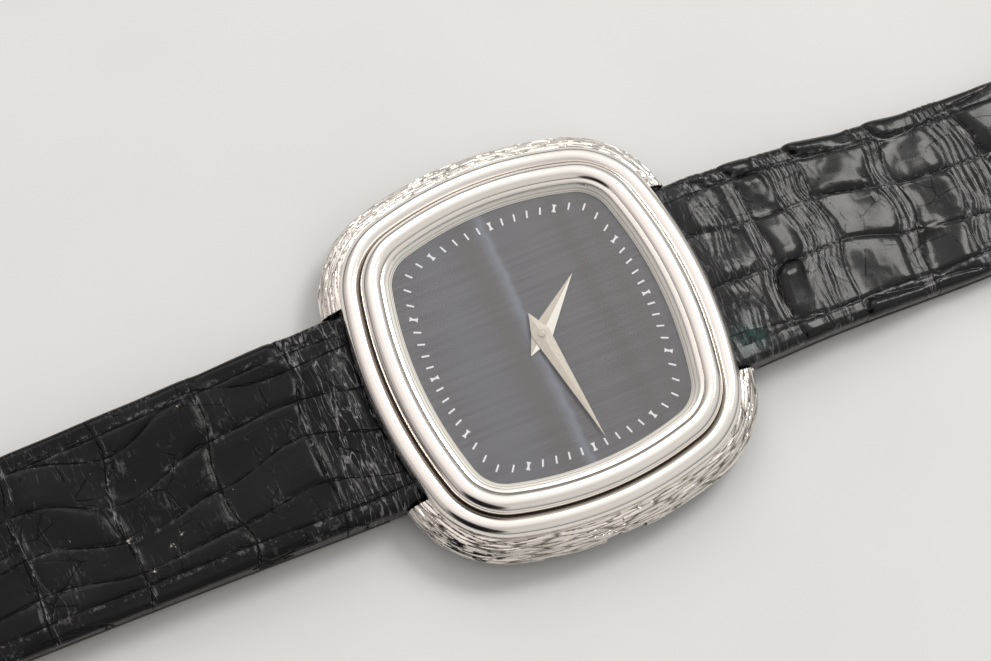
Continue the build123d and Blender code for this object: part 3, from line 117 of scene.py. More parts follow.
table_height = -0.06 * mm
table_radius = 3000 * mm
bpy.ops.object.select_all(action="DESELECT")
bpy.ops.mesh.primitive_circle_add(vertices=96, radius=table_radius, fill_type="NGON",
                                  location=(0, 0, table_height))
table = bpy.context.object
table.name = "table_card"
card, tree, shader, place = new_finish("matt_card", Roughness=0.9, Specular_IOR_Level=0.2)
mottle = add_node(tree, "TexNoise", {"Vector": place, "Scale": 0.06 / mm, "Detail": 4.0})
tone = add_node(tree, "Mix", {"Factor": mottle, 6: "#d8d8d7", 7: "#e0e0df"}, 2,
                data_type="RGBA")
fill_sockets(tree, shader, {"Base Color": tone})
table.data.materials.append(card)
table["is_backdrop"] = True


# The light is a tent of white cloth, brightest toward 12 o'clock and warm beside 3 o'clock. It fades
# to dark near the table, and one dark gap stands beyond 4 o'clock, which the polished ribs show.
world = bpy.data.worlds.new("light_tent")
bpy.context.scene.world = world
world.use_nodes = True
tree = world.node_tree
towards = add_node(tree, "TexCoord", {}, "Generated")
upward = add_node(tree, "SeparateXYZ", {"Vector": towards}, "Z")
to_12 = add_node(tree, "SeparateXYZ", {"Vector": towards}, "Y")
level = add_node(tree, "MapRange", {"Value": upward, "From Max": 0.45, "To Min": 0.13, "To Max": 0.58},
                 interpolation_type="SMOOTHSTEP")
for direction, first, last, gain in (
    ((-0.16, 0.60, 0.78), 0.45, 1.0, 0.2),
    ((-0.25, -0.25, 0.935), 0.76, 0.99, 0.44),
    ((0.87, 0.16, 0.46), 0.72, 1.0, 0.14),
    ((-0.72, 0.15, 0.68), 0.8, 1.0, 0.38),
):
    facing = add_node(tree, "VectorMath", {0: towards, 1: direction}, "Value", operation="DOT_PRODUCT")
    bright = add_node(tree, "MapRange", {"Value": facing, "From Min": first, "From Max": last,
                                         "To Max": gain}, interpolation_type="SMOOTHSTEP")
    level = add_node(tree, "Math", {0: level, 1: bright}, operation="ADD")
facing_gap = add_node(tree, "VectorMath", {0: towards, 1: (0.62, -0.62, 0.48)}, "Value",
                      operation="DOT_PRODUCT")
gap = add_node(tree, "MapRange", {"Value": facing_gap, "From Min": 0.885, "From Max": 0.94, "To Min": 1.0,
                                  "To Max": 0.02}, interpolation_type="SMOOTHSTEP")
level = add_node(tree, "Math", {0: level, 1: gap}, operation="MULTIPLY")
warmth = add_node(tree, "MapRange", {"Value": to_12, "From Min": -0.8, "From Max": 0.6})
cloth_tone = add_node(tree, "Mix", {"Factor": warmth, 6: "#faf3f1", 7: "#fffefb"}, 2,
                      data_type="RGBA")
cloth = add_node(tree, "Background", {"Color": cloth_tone, "Strength": level})
plain = add_node(tree, "Background", {"Color": "#e6e6e5", "Strength": 1.0})
seen_first = add_node(tree, "LightPath", {}, "Is Camera Ray")
tent = add_node(tree, "MixShader", {0: seen_first, 1: cloth, 2: plain})
fill_sockets(tree, tree.nodes["World Output"], {"Surface": tent})
tree.nodes.remove(tree.nodes["Background"])
for name, spot, size, power, tone in (
    ("soft_box_12", (-0.17, 0.38, 0.53), 0.23, 1.6, "#fffefb"),
    ("soft_box_9", (-0.52, 0.02, 0.42), 0.34, 0.55, "#fffdfb"),
):
    lamp = bpy.data.lights.new(name, "AREA")
    lamp.size = size
    lamp.energy = power
    lamp.color = linear(tone)[:3]
    box = bpy.data.objects.new(name, lamp)
    box.location = spot
    box.rotation_euler = (-Vector(spot)).to_track_quat("-Z", "Y").to_euler()
    bpy.context.scene.collection.objects.link(box)


# The flank of the case is white gold, cut by hand all round with a graver into long shallow strokes
# like bark. Two bands, one each side between the strap slots, carry the strokes as real relief.
# The strokes glint. Painted shade darkens the cuts between them, fully at 3 o'clock and a quarter
# as much at 9 o'clock, and a painted dark reflection with painted shade darkens the flank low down.
half_width = 16.5 * mm
half_height = 15.75 * mm
side_radius = 33.15 * mm
end_radius = 38.35 * mm
corner_radius = 7.75 * mm
slot_half = 9.15 * mm
bark_lift = 0.09 * mm
stroke_length = 3.4 * mm
stroke_width = 0.27 * mm
stroke_relief = 0.075 * mm
cut_depth = 0.045 * mm
scratch_relief = 0.03 * mm
lowest_relief, highest_relief = -0.07 * mm, 0.12 * mm
crown_notch_place = (18.0 * mm, 0, 1.4 * mm)
crown_notch_size = (3.2 * mm, 3.8 * mm, 3.92 * mm)


def rim_stations(side_steps, corner_steps, end_steps):
    """Arc centre and direction, with the arc's radius, of stations round the bezel's outer edge."""
    side_x = half_width - side_radius
    end_y = half_height - end_radius
    side_reach = side_radius - corner_radius
    end_reach = end_radius - corner_radius
    between = math.hypot(side_x, end_y)
    along = (side_reach ** 2 - end_reach ** 2 + between ** 2) / (2 * between)
    rise = math.sqrt(side_reach ** 2 - along ** 2)
    toward_x, toward_y = -side_x / between, end_y / between
    corner_x = side_x + toward_x * along - toward_y * rise
    corner_y = toward_y * along + toward_x * rise
    first = math.atan2(corner_y, corner_x - side_x)
    second = math.atan2(corner_y - end_y, corner_x)
    rows = []
    for start, stop, steps, x, y, radius in (
        (0, first, side_steps, side_x, 0, side_radius),
        (first, second, corner_steps, corner_x, corner_y, corner_radius),
        (second, math.pi / 2, end_steps, 0, end_y, end_radius),
    ):
        for step in range(steps):
            angle = start + (stop - start) * step / steps
            rows.append((x, y, math.cos(angle), math.sin(angle), radius))
    rows.append((0, end_y, 0, 1, end_radius))
    quarter = np.array(rows)
    flip_x = np.array((-1, 1, -1, 1, 1))
    flip_y = np.array((1, -1, 1, -1, 1))
    return np.concatenate([quarter, (quarter * flip_x)[::-1][1:], (quarter * flip_x * flip_y)[1:],
                           (quarter * flip_y)[::-1][1:]])


def arc_through(first, middle, last, steps):
    """Points on the circle through three points of a section, both ends included."""
    (ax, ay), (bx, by), (cx, cy) = first, middle, last
    a, b, c = (x ** 2 + y ** 2 for x, y in (first, middle, last))
    twist = 2 * (ax * (by - cy) + bx * (cy - ay) + cx * (ay - by))
    centre_x = (a * (by - cy) + b * (cy - ay) + c * (ay - by)) / twist
    centre_y = (a * (cx - bx) + b * (ax - cx) + c * (bx - ax)) / twist
    start = math.atan2(ay - centre_y, ax - centre_x)
    through = (math.atan2(by - centre_y, bx - centre_x) - start) % (2 * math.pi)
    turn = (math.atan2(cy - centre_y, cx - centre_x) - start) % (2 * math.pi)
    if through > turn:
        turn -= 2 * math.pi
    radius = math.hypot(ax - centre_x, ay - centre_y)
    angles = [start + turn * k / steps for k in range(steps + 1)]
    return [(centre_x + radius * math.cos(angle), centre_y + radius * math.sin(angle)) for angle in angles]


def shaped_grid(name, columns, rows, points):
    """A grid primitive whose corners are moved to points[row][column]; returns it with both numbers."""
    bpy.ops.object.select_all(action="DESELECT")
    bpy.ops.mesh.primitive_grid_add(x_subdivisions=columns - 1, y_subdivisions=rows - 1, size=2)
    piece = bpy.context.object
    piece.name = name
    piece.data.name = name
    flat = np.zeros(len(piece.data.vertices) * 3)
    piece.data.vertices.foreach_get("co", flat)
    flat = flat.reshape(-1, 3)
    column = np.rint((flat[:, 0] + 1) / 2 * (columns - 1)).astype(int)
    row = np.rint((flat[:, 1] + 1) / 2 * (rows - 1)).astype(int)
    piece.data.vertices.foreach_set("co", points[row, column].ravel())
    piece.data.update()
    return piece, row, column


def close_and_smooth(piece, angle, merge=0.0002 * mm, fill=False):
    """Merges doubled points, may fill holes, turns the faces outward and smooths all but sharp edges."""
    bpy.ops.object.select_all(action="DESELECT")
    piece.select_set(True)
    bpy.context.view_layer.objects.active = piece
    bpy.ops.object.mode_set(mode="EDIT")
    bpy.ops.mesh.select_all(action="SELECT")
    bpy.ops.mesh.remove_doubles(threshold=merge)
    if fill:
        bpy.ops.mesh.select_all(action="DESELECT")
        bpy.ops.mesh.select_non_manifold()
        bpy.ops.mesh.fill_holes(sides=0)
        bpy.ops.mesh.select_all(action="SELECT")
    bpy.ops.mesh.normals_make_consistent(inside=False)
    bpy.ops.object.mode_set(mode="OBJECT")
    bpy.ops.object.shade_smooth_by_angle(angle=math.radians(angle))


def add_values(piece, label, values):
    """Stores one number for each corner, which the piece's material reads."""
    made = piece.data.attributes.new(label, "FLOAT", "POINT")
    made.data.foreach_set("value", values.astype(np.float32))


def cut_from(piece, cutters):
    """Takes closed cutter objects out of a piece and removes them."""
    for cutter in cutters:
        bpy.context.view_layer.objects.active = piece
        hole = piece.modifiers.new("hole", "BOOLEAN")
        hole.object = cutter
        hole.operation = "DIFFERENCE"
        hole.solver = "EXACT"
        bpy.ops.object.modifier_apply(modifier="hole")
        bpy.data.objects.remove(cutter)


def chance(column, row, seed):
    """A repeatable number from 0 to 1 for each whole column and row."""
    value = np.sin(column * 127.1 + row * 311.7 + seed * 74.7) * 43758.5453
    return value - np.floor(value)


def ripple(u, v, seed):
    """Smooth noise from -1 to 1 with one bump to each unit of u and v."""
    column, row = np.floor(u), np.floor(v)
    over, up = u - column, v - row
    over, up = over * over * (3 - 2 * over), up * up * (3 - 2 * up)
    low = chance(column, row, seed) * (1 - over) + chance(column + 1, row, seed) * over
    high = chance(column, row + 1, seed) * (1 - over) + chance(column + 1, row + 1, seed) * over
    return (low * (1 - up) + high * up) * 2 - 1


def strokes(u, v, seed, jitter):
    """Strokes laid one to a unit: nearest and next distance, the nearest one's number and offset in v."""
    near = np.full(u.shape, 9.0)
    following = np.full(u.shape, 9.0)
    number = np.zeros(u.shape)
    offset = np.zeros(u.shape)
    for step_u in (-1, 0, 1):
        for step_v in (-1, 0, 1):
            column, row = np.floor(u) + step_u, np.floor(v) + step_v
            middle_u = column + 0.5 + (chance(column, row, seed) - 0.5) * jitter + (row % 2) * 0.35
            middle_v = row + 0.5 + (chance(column, row, seed + 1) - 0.5) * jitter
            away = np.hypot(u - middle_u, v - middle_v)
            closer = away < near
            following = np.where(closer, near, np.minimum(following, away))
            number = np.where(closer, chance(column, row, seed + 2), number)
            offset = np.where(closer, v - middle_v, offset)
            near = np.where(closer, away, near)
    return near, following, number, offset


shoulder, belly, belly_end, foot = (-0.14, 4.36), (1.6, 3.1), (1.05, 1.5), (-1.3, 0.5)
base_steps = 26
flank_section = arc_through(shoulder, (0.9, 3.92), belly, 34)
flank_section += arc_through(belly, (1.485, 2.3), belly_end, 26)[1:]
for k in range(1, base_steps + 1):
    share = k / base_steps
    flank_section.append((belly_end[0] + (foot[0] - belly_end[0]) * share,
                          belly_end[1] + (foot[1] - belly_end[1]) * share))
inner_wall = [(-1.45, 0.75), (0.75, 1.72), (1.2, 3.1), (0.5, 3.75), (-0.14, 4.15)]
ring_stations = rim_stations(92, 90, 100)
section = np.array(flank_section + inner_wall + [flank_section[0]]) * mm
outer_count = len(flank_section)
edge_xy = ring_stations[:, :2] + ring_stations[:, 2:4] * ring_stations[:, 4:5]
rim_mm = np.concatenate([[0], np.cumsum(np.hypot(*np.diff(edge_xy, axis=0).T))])[None, :] / mm
flank_mm = np.concatenate([[0], np.cumsum(np.hypot(*np.diff(section, axis=0).T))])[:, None] / mm
slope = np.gradient(section, axis=0)
slope /= np.hypot(slope[:, 0], slope[:, 1])[:, None]
outward = np.stack([-slope[:, 1], slope[:, 0]], axis=-1)
outward[outer_count:] = 0

sway = ripple(rim_mm / 3.1, flank_mm / 1.4, 11) * 0.35
lane = (flank_mm + sway * 0.5) * mm / stroke_width
run = np.broadcast_to(rim_mm * mm / stroke_length, lane.shape)
near, following, number, offset = strokes(run, lane, 3, 0.85)
facet = (number - 0.5) * 0.9 + offset * (chance(np.floor(number * 997), 0, 5) - 0.5) * 2.2
valley = np.exp(-((following - near) / 0.2) ** 2)
scratch = ripple(rim_mm / 3.6, flank_mm / 0.16, 21) * 0.6 + ripple(rim_mm / 1.6, flank_mm / 0.10, 22) * 0.25
relief = facet * stroke_relief - valley * cut_depth + scratch * scratch_relief
fade = np.clip(np.minimum(flank_mm / 0.25, (flank_mm[outer_count - 1] - flank_mm) / 0.3), 0, 1)
relief = np.clip(relief * fade, lowest_relief, highest_relief)
relief[outer_count:] = 0

outset = section[:, :1] + outward[:, :1] * (bark_lift + relief)
height = section[:, 1:] + outward[:, 1:] * (bark_lift + relief)
outset[-1], height[-1] = outset[0], height[0]
reach = ring_stations[:, 4] + outset
bark_points = np.stack([ring_stations[:, 0] + ring_stations[:, 2] * reach,
                        ring_stations[:, 1] + ring_stations[:, 3] * reach, height], axis=-1)

bark_gold, tree, shader, place = new_finish("white_gold_chiselled", Metallic=1.0, Roughness=0.2)
grit = add_node(tree, "TexNoise", {"Vector": place, "Scale": 9 / mm, "Detail": 3.0})
patch = add_node(tree, "TexNoise", {"Vector": place, "Scale": 0.7 / mm, "Detail": 2.0})
gloss = add_node(tree, "MapRange", {"Value": grit, "From Min": 0.3, "From Max": 0.7, "To Min": 0.14,
                                    "To Max": 0.3})
dents = add_node(tree, "Bump", {"Strength": 0.25, "Distance": 0.02 * mm, "Height": grit})
# Painted shade: the cuts between the strokes are darkened, more on the 3 o'clock side.
cut_shade = add_node(tree, "Attribute", {}, "Fac", attribute_name="cut_shade")
cut_shade_share = add_node(tree, "Math", {0: cut_shade, 1: 0.85}, operation="MULTIPLY")
# Painted dark reflection and painted shade: the colour darkens toward the foot of the flank.
level = add_node(tree, "SeparateXYZ", {"Vector": place}, "Z")
painted_low_darkness = add_node(tree, "MapRange", {"Value": level, "From Min": 0.6 * mm, "From Max": 3.7 * mm,
                                        "To Min": 0.95, "To Max": 0.0}, interpolation_type="SMOOTHSTEP")
colour = "#e6dfd7"
for amount, tone in ((patch, "#f6f1ec"), (cut_shade_share, "#4f463e"), (painted_low_darkness, "#5a4f46")):
    colour = add_node(tree, "Mix", {"Factor": amount, 6: colour, 7: tone}, 2, data_type="RGBA")
fill_sockets(tree, shader, {"Base Color": colour, "Roughness": gloss, "Normal": dents})

# The third number is how strong the painted shade in the cuts is on each side.
for name, side, painted_shade in (("flank_3", 1, 1.0), ("flank_9", -1, 0.25)):
    keep = np.where(edge_xy[:, 0] * side > slot_half * 0.93)[0]
    if side > 0:
        turn = np.where(np.diff(keep) > 1)[0][0] + 1
        keep = np.concatenate([keep[turn:-1], keep[:turn]])
    band, row, column = shaped_grid(name, len(keep), len(section), bark_points[:, keep])
    add_values(band, "cut_shade", (valley[:, keep] * fade * painted_shade)[row, column])
    close_and_smooth(band, 30)
    bpy.ops.object.mode_set(mode="EDIT")
    bpy.ops.mesh.select_all(action="SELECT")
    bpy.ops.mesh.bisect(plane_co=(slot_half * side, 0, 0), plane_no=(side, 0, 0), use_fill=True,
                        clear_inner=True, threshold=0.001 * mm)
    bpy.ops.mesh.select_all(action="SELECT")
    bpy.ops.mesh.normals_make_consistent(inside=False)
    bpy.ops.object.mode_set(mode="OBJECT")
    if side > 0:
        bpy.ops.object.select_all(action="DESELECT")
        bpy.ops.mesh.primitive_cube_add(size=1, location=crown_notch_place, scale=crown_notch_size)
        cut_from(band, [bpy.context.object])
    band.data.materials.append(bark_gold)
    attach(band, "case")
nodes["case_middle"].material_slots[0].material = bark_gold


# The bezel is one ring of white gold with two half-round ribs, turned and then polished to a mirror.
# A thin lip at its inner edge holds the glass down. Painted shade darkens the groove between the ribs,
# the lip and the foot of the outer rib, and a painted dark reflection lies on the inner rib's outer wall.
def round_the_case(name, stations, section, painted_shade, angle):
    """A closed section of (outset, height) in mm carried round the case, with painted shade near some points.

    Each shaded point is an outset, a height, how far the painted shade reaches, and how dark it is.
    """
    outset, height = np.array(section).T * mm
    reach = stations[:, 4] + outset[:, None]
    points = np.stack([stations[:, 0] + stations[:, 2] * reach, stations[:, 1] + stations[:, 3] * reach,
                       np.broadcast_to(height[:, None], reach.shape)], axis=-1)
    piece, row, _column = shaped_grid(name, len(stations), len(section), points)
    # Painted shade: darkness falls off from each listed point of the section.
    spot_x, spot_y, spread, dark = np.array(painted_shade).T
    away = np.hypot(outset[:, None] / mm - spot_x, height[:, None] / mm - spot_y)
    painted_darkness = np.max(np.exp(-(away / spread) ** 2) * dark, axis=1)
    add_values(piece, "painted_shade", painted_darkness[row])
    close_and_smooth(piece, angle)
    return piece


lip = [(-3.9, 6.36), (-3.9, 6.42), (-3.885, 6.435), (-3.72, 6.48), (-3.56, 6.52), (-3.545, 6.51),
       (-3.52, 6.47), (-3.495, 6.465), (-3.47, 6.49)]
inner_rib = arc_through((-3.44, 6.53), (-2.75, 6.78), (-1.86, 5.56), 46)
groove = [(-1.84, 5.46), (-1.82, 5.36), (-1.77, 5.36), (-1.75, 5.44)]
outer_rib = arc_through((-1.73, 5.52), (-0.95, 5.85), (-0.06, 4.62), 42)
seat = [(-0.06, 4.4), (-1.0, 4.4), (-3.42, 4.4), (-3.42, 6.36), (-3.9, 6.36)]
# Painted shade in the groove, at the lip and at the foot of the outer rib; painted dark reflection on the
# inner rib's outer wall.
bezel_painted_shade = [(-1.8, 5.34, 0.15, 1.0), (-1.93, 5.66, 0.22, 0.75), (-3.51, 6.47, 0.04, 0.8),
              (-0.06, 4.5, 0.16, 1.0), (-3.9, 6.37, 0.05, 0.6)]
bezel = round_the_case("bezel_ring", rim_stations(34, 44, 36), lip + inner_rib + groove + outer_rib + seat,
                       bezel_painted_shade, 32)
mirror_gold, tree, shader, place = new_finish("white_gold_polished", Metallic=1.0, Roughness=0.08)
haze = add_node(tree, "TexNoise", {"Vector": place, "Scale": 0.42 / mm, "Detail": 5.0, "Roughness": 0.7})
gloss = add_node(tree, "MapRange", {"Value": haze, "From Min": 0.35, "From Max": 0.75, "To Min": 0.1,
                                    "To Max": 0.2})
wide = add_node(tree, "TexNoise", {"Vector": place, "Scale": 0.15 / mm, "Detail": 2.0})
hairline = add_node(tree, "TexNoise", {"Vector": place, "Scale": 2.6 / mm, "Detail": 2.0})
lines = add_node(tree, "Bump", {"Strength": 0.08, "Distance": 0.01 * mm, "Height": hairline})
# The painted shade and painted dark reflection darken the base colour.
painted_shade = add_node(tree, "Attribute", {}, "Fac", attribute_name="painted_shade")
colour = "#ede7e1"
for amount, tone in ((wide, "#f6f2ed"), (painted_shade, "#3b332c")):
    colour = add_node(tree, "Mix", {"Factor": amount, 6: colour, 7: tone}, 2, data_type="RGBA")
fill_sockets(tree, shader, {"Base Color": colour, "Roughness": gloss, "Normal": lines})
bezel.data.materials.append(mirror_gold)
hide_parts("bezel")
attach(bezel, "case")


# Under the glass a narrow satin slope leads down to the dial, with two fine turned lines. It is matt
# enough to stay cream from every side. Painted shade darkens the two turned lines.
slope_section = [(-4.5, 5.4), (-4.5, 5.46), (-4.42, 5.54), (-4.40, 5.53), (-4.34, 5.61), (-4.22, 5.73),
                 (-4.20, 5.72), (-4.14, 5.80), (-4.02, 5.94), (-3.45, 5.94), (-3.45, 5.4), (-4.5, 5.4)]
# Painted shade in the two turned lines.
slope_painted_shade = [(-4.41, 5.535, 0.03, 0.7), (-4.21, 5.725, 0.03, 0.7)]
slope_ring = round_the_case("slope_ring", rim_stations(26, 34, 28), slope_section, slope_painted_shade, 20)
satin_gold, tree, shader, place = new_finish("white_gold_satin", Metallic=0.0, Roughness=0.4)
turned = add_node(tree, "TexNoise", {"Vector": place, "Scale": 1.8 / mm, "Detail": 2.0})
painted_shade = add_node(tree, "Attribute", {}, "Fac", attribute_name="painted_shade")
colour = "#fffaf0"
for amount, tone in ((turned, "#fffdf8"), (painted_shade, "#8b7f6f")):
    colour = add_node(tree, "Mix", {"Factor": amount, 6: colour, 7: tone}, 2, data_type="RGBA")
fill_sockets(tree, shader, {"Base Color": colour})
slope_ring.data.materials.append(satin_gold)
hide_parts("rehaut_ring")
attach(slope_ring, "case")


# The glass is a flat plate of mineral crystal. Light falls through it without a dark shadow, and only
# the eye's own rays are bent and reflected.
crystal, tree, shader, _place = new_finish("mineral_crystal", Roughness=0.0, IOR=1.5, Transmission_Weight=1.0,
                                   Base_Color=linear("#fdfdfd"))
clear = add_node(tree, "BsdfTransparent", {"Color": "#fdfdfd"})
unbent = 0.0
for ray in ("Is Diffuse Ray", "Is Glossy Ray", "Is Shadow Ray"):
    unbent = add_node(tree, "Math", {0: unbent, 1: add_node(tree, "LightPath", {}, ray)}, operation="MAXIMUM")
passing = add_node(tree, "MixShader", {0: unbent, 1: shader.outputs[0], 2: clear})
fill_sockets(tree, tree.nodes["Material Output"], {"Surface": passing})
nodes["crystal"].material_slots[0].material = crystal


# The dial is a brass plate, brushed from 12 to 6 and tinted slate grey under clear lacquer.
# The light that the brushing throws from 9 to 3 is painted into its colour as soft bluish and brownish
# bands of painted reflection. Its lines are drawn three to the millimetre, coarser than real ones,
# which would not show.
slate, tree, shader, place = new_finish("slate_brushed", Metallic=0.3, Roughness=0.45, Anisotropic=0.6,
                                        Coat_Weight=0.05, Coat_Roughness=0.1)
brush_size = add_node(tree, "Mapping", {"Vector": place, "Scale": (3 / mm, 0.06 / mm, 1)})
brush = add_node(tree, "TexNoise", {"Vector": brush_size, "Scale": 1.0, "Detail": 1.0})
drift_size = add_node(tree, "Mapping", {"Vector": place, "Scale": (0.9 / mm, 0.05 / mm, 1)})
drift = add_node(tree, "TexNoise", {"Vector": drift_size, "Scale": 1.0, "Detail": 0.0})
to_12 = add_node(tree, "SeparateXYZ", {"Vector": place}, "Y")
bent = add_node(tree, "Math", {0: drift, 1: 0.5 * mm, 2: to_12}, operation="MULTIPLY_ADD")
lined = add_node(tree, "MapRange", {"Value": brush, "From Min": 0.36, "From Max": 0.64})
colour = add_node(tree, "Mix", {"Factor": lined, 6: "#535256", 7: "#5d5c60"}, 2, data_type="RGBA")
# Painted reflections: each band runs from 9 to 3 at its place toward 12, with half width, tone and strength.
for middle, spread, tone, strength in (
    (-0.6, 0.9, "#717582", 0.5), (-0.4, 0.45, "#858998", 0.25), (-2.35, 1.7, "#524e4d", 0.55),
    (6.25, 1.5, "#504a48", 0.5), (3.25, 1.8, "#5d5c5d", 0.4), (-6.05, 3.2, "#5e5f66", 0.5),
    (8.85, 2.0, "#535150", 0.6),
):
    offset = add_node(tree, "Math", {0: bent, 1: middle * mm}, operation="SUBTRACT")
    away = add_node(tree, "Math", {0: offset}, operation="ABSOLUTE")
    amount = add_node(tree, "MapRange", {"Value": away, "From Max": spread * mm, "To Min": strength,
                                         "To Max": 0.0}, interpolation_type="SMOOTHSTEP")
    colour = add_node(tree, "Mix", {"Factor": amount, 6: colour, 7: tone}, 2, data_type="RGBA")
grain = add_node(tree, "Bump", {"Strength": 0.02, "Distance": 0.01 * mm, "Height": brush})
grain_way = add_node(tree, "Tangent", {}, direction_type="RADIAL", axis="X")
fill_sockets(tree, shader, {"Base Color": colour, "Normal": grain, "Tangent": grain_way})
nodes["dial"].material_slots[0].material = slate


# The track is pad printed in thick white ink: a bar for each minute, a waisted block for each hour.
# The ink is matt, and a little greyer where it lies thin.
ink, tree, shader, place = new_finish("white_print_ink", Roughness=0.5)
speck = add_node(tree, "TexNoise", {"Vector": place, "Scale": 6 / mm, "Detail": 2.0})
tone = add_node(tree, "Mix", {"Factor": speck, 6: "#d9d9df", 7: "#f1f1f4"}, 2, data_type="RGBA")
fill_sockets(tree, shader, {"Base Color": tone})
nodes["dial_markers"].material_slots[0].material = ink


# The hands are stamped from white gold sheet with a ridge down the middle, brushed lightly. One
# side of the hour hand's ridge is polished, and its colour is lightened as a painted highlight. A small
# pin closes the middle of the minute hand.
hand_finishes = []
for name, polish_and_highlight in (("white_gold_minute", 0.0), ("white_gold_hour", 1.0)):
    hand_gold, tree, shader, place = new_finish(name, Metallic=1.0)
    stroke = add_node(tree, "TexNoise", {"Vector": place, "Scale": 5 / mm, "Detail": 3.0})
    normal = add_node(tree, "TexCoord", {}, "Normal")
    # The facet leaning toward (0.6, 0.8, 0) is given lower roughness and a painted highlight in its colour.
    lean = add_node(tree, "VectorMath", {0: normal, 1: (0.6, 0.8, 0.0)}, "Value", operation="DOT_PRODUCT")
    facet = add_node(tree, "MapRange", {"Value": lean, "From Max": 0.03, "To Max": polish_and_highlight})
    colour = "#b3ada1"
    for amount, tone in ((stroke, "#c8c1b6"), (facet, "#fdf9f0")):
        colour = add_node(tree, "Mix", {"Factor": amount, 6: colour, 7: tone}, 2, data_type="RGBA")
    gloss = add_node(tree, "MapRange", {"Value": facet, "To Min": 0.24, "To Max": 0.1})
    rub = add_node(tree, "Bump", {"Strength": 0.1, "Distance": 0.01 * mm, "Height": stroke})
    fill_sockets(tree, shader, {"Base Color": colour, "Roughness": gloss, "Normal": rub})
    hand_finishes.append(hand_gold)
minute_gold, hour_gold = hand_finishes
arbor_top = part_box("centre_wheel")[1].z
pin_radius = 0.3 * mm
pin_depth = 0.12 * mm
pin_over_arbor = 0.03 * mm
bpy.ops.object.select_all(action="DESELECT")
bpy.ops.mesh.primitive_cylinder_add(vertices=48, radius=pin_radius, depth=pin_depth,
                                    location=(0, 0, arbor_top - pin_depth / 2 + pin_over_arbor))
hand_pin = bpy.context.object
hand_pin.name = "hand_pin"
bpy.ops.object.transform_apply(location=True, rotation=True, scale=True)
rounded = hand_pin.modifiers.new("rounded", "BEVEL")
rounded.width = 0.05 * mm
rounded.segments = 4
bpy.ops.object.modifier_apply(modifier="rounded")
bpy.ops.object.shade_smooth_by_angle(angle=math.radians(50))
hand_pin.data.materials.append(minute_gold)
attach(hand_pin, "minute_hand")
nodes["hour_hand"].material_slots[0].material = hour_gold
nodes["minute_hand"].material_slots[0].material = minute_gold
nodes["crown"].material_slots[0].material = mirror_gold
nodes["case_back"].material_slots[0].material = mirror_gold


# Each strap half is alligator leather, turned over at its edges and glued to a calf lining.
# The scales, their cracks, the crease inside each turned edge and the wrinkles by the case are cut
# into the mesh as relief. A worn, glazed black finish lies over them, and painted highlights lighten
# the rubbed folds, the scale rims by the cracks and the crease by each turned edge.
strap_start = 12.8 * mm
buckle_end = 90.2 * mm
tail_end = 129.3 * mm
nose = 1.5 * mm
edge_round = 0.75 * mm
crease_in = 1.7
row_12, lane_12 = 7.6, 4.9
row_6, lane_6 = 8.6, 3.9
hole_count = 7
hole_pitch = 6.5 * mm
hole_radius = 0.9 * mm
first_hole_in = 28 * mm
cutter_height = 12 * mm
tongue_slot_place = (1.0 * mm, 89.8 * mm, 2 * mm)
tongue_slot_size = (2.3 * mm, 7.3 * mm, cutter_height)


def strap_places(last, fine, coarse, change, side):
    """Stations along a strap half: close at the nose, even on the part near the case, wider beyond."""
    nose_steps = 12
    rows = [strap_start + nose * (1 - math.cos(math.pi / 2 * k / nose_steps)) for k in range(nose_steps)]
    at = rows[-1] + fine
    while at < last - fine * 0.5:
        rows.append(at)
        at += fine if at < change else coarse
    rows.append(last)
    return np.array(rows) * side


def strap_outline(node, places):
    """Top, underside, left and right edge of a strap's solid at each station, cast on the solid."""
    solid = nodes[node]
    low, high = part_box(node)
    inset = 0.03 * mm
    beside_holes = -4 * mm
    far = 50 * mm
    rows = []
    for y in places:
        inside = min(max(y, low.y + inset), high.y - inset)
        from_above = solid.ray_cast(Vector((beside_holes, inside, far)), Vector((0, 0, -1)))
        from_below = solid.ray_cast(Vector((beside_holes, inside, -far)), Vector((0, 0, 1)))
        top = from_above[1].z if from_above[0] else rows[-1][0]
        under = from_below[1].z if from_below[0] else rows[-1][1]
        middle = (top + under) / 2
        left = solid.ray_cast(Vector((-far, inside, middle)), Vector((1, 0, 0)))
        right = solid.ray_cast(Vector((far, inside, middle)), Vector((-1, 0, 0)))
        rows.append((top, under, left[1].x if left[0] else rows[-1][2],
                     right[1].x if right[0] else rows[-1][3]))
    return np.array(rows).T


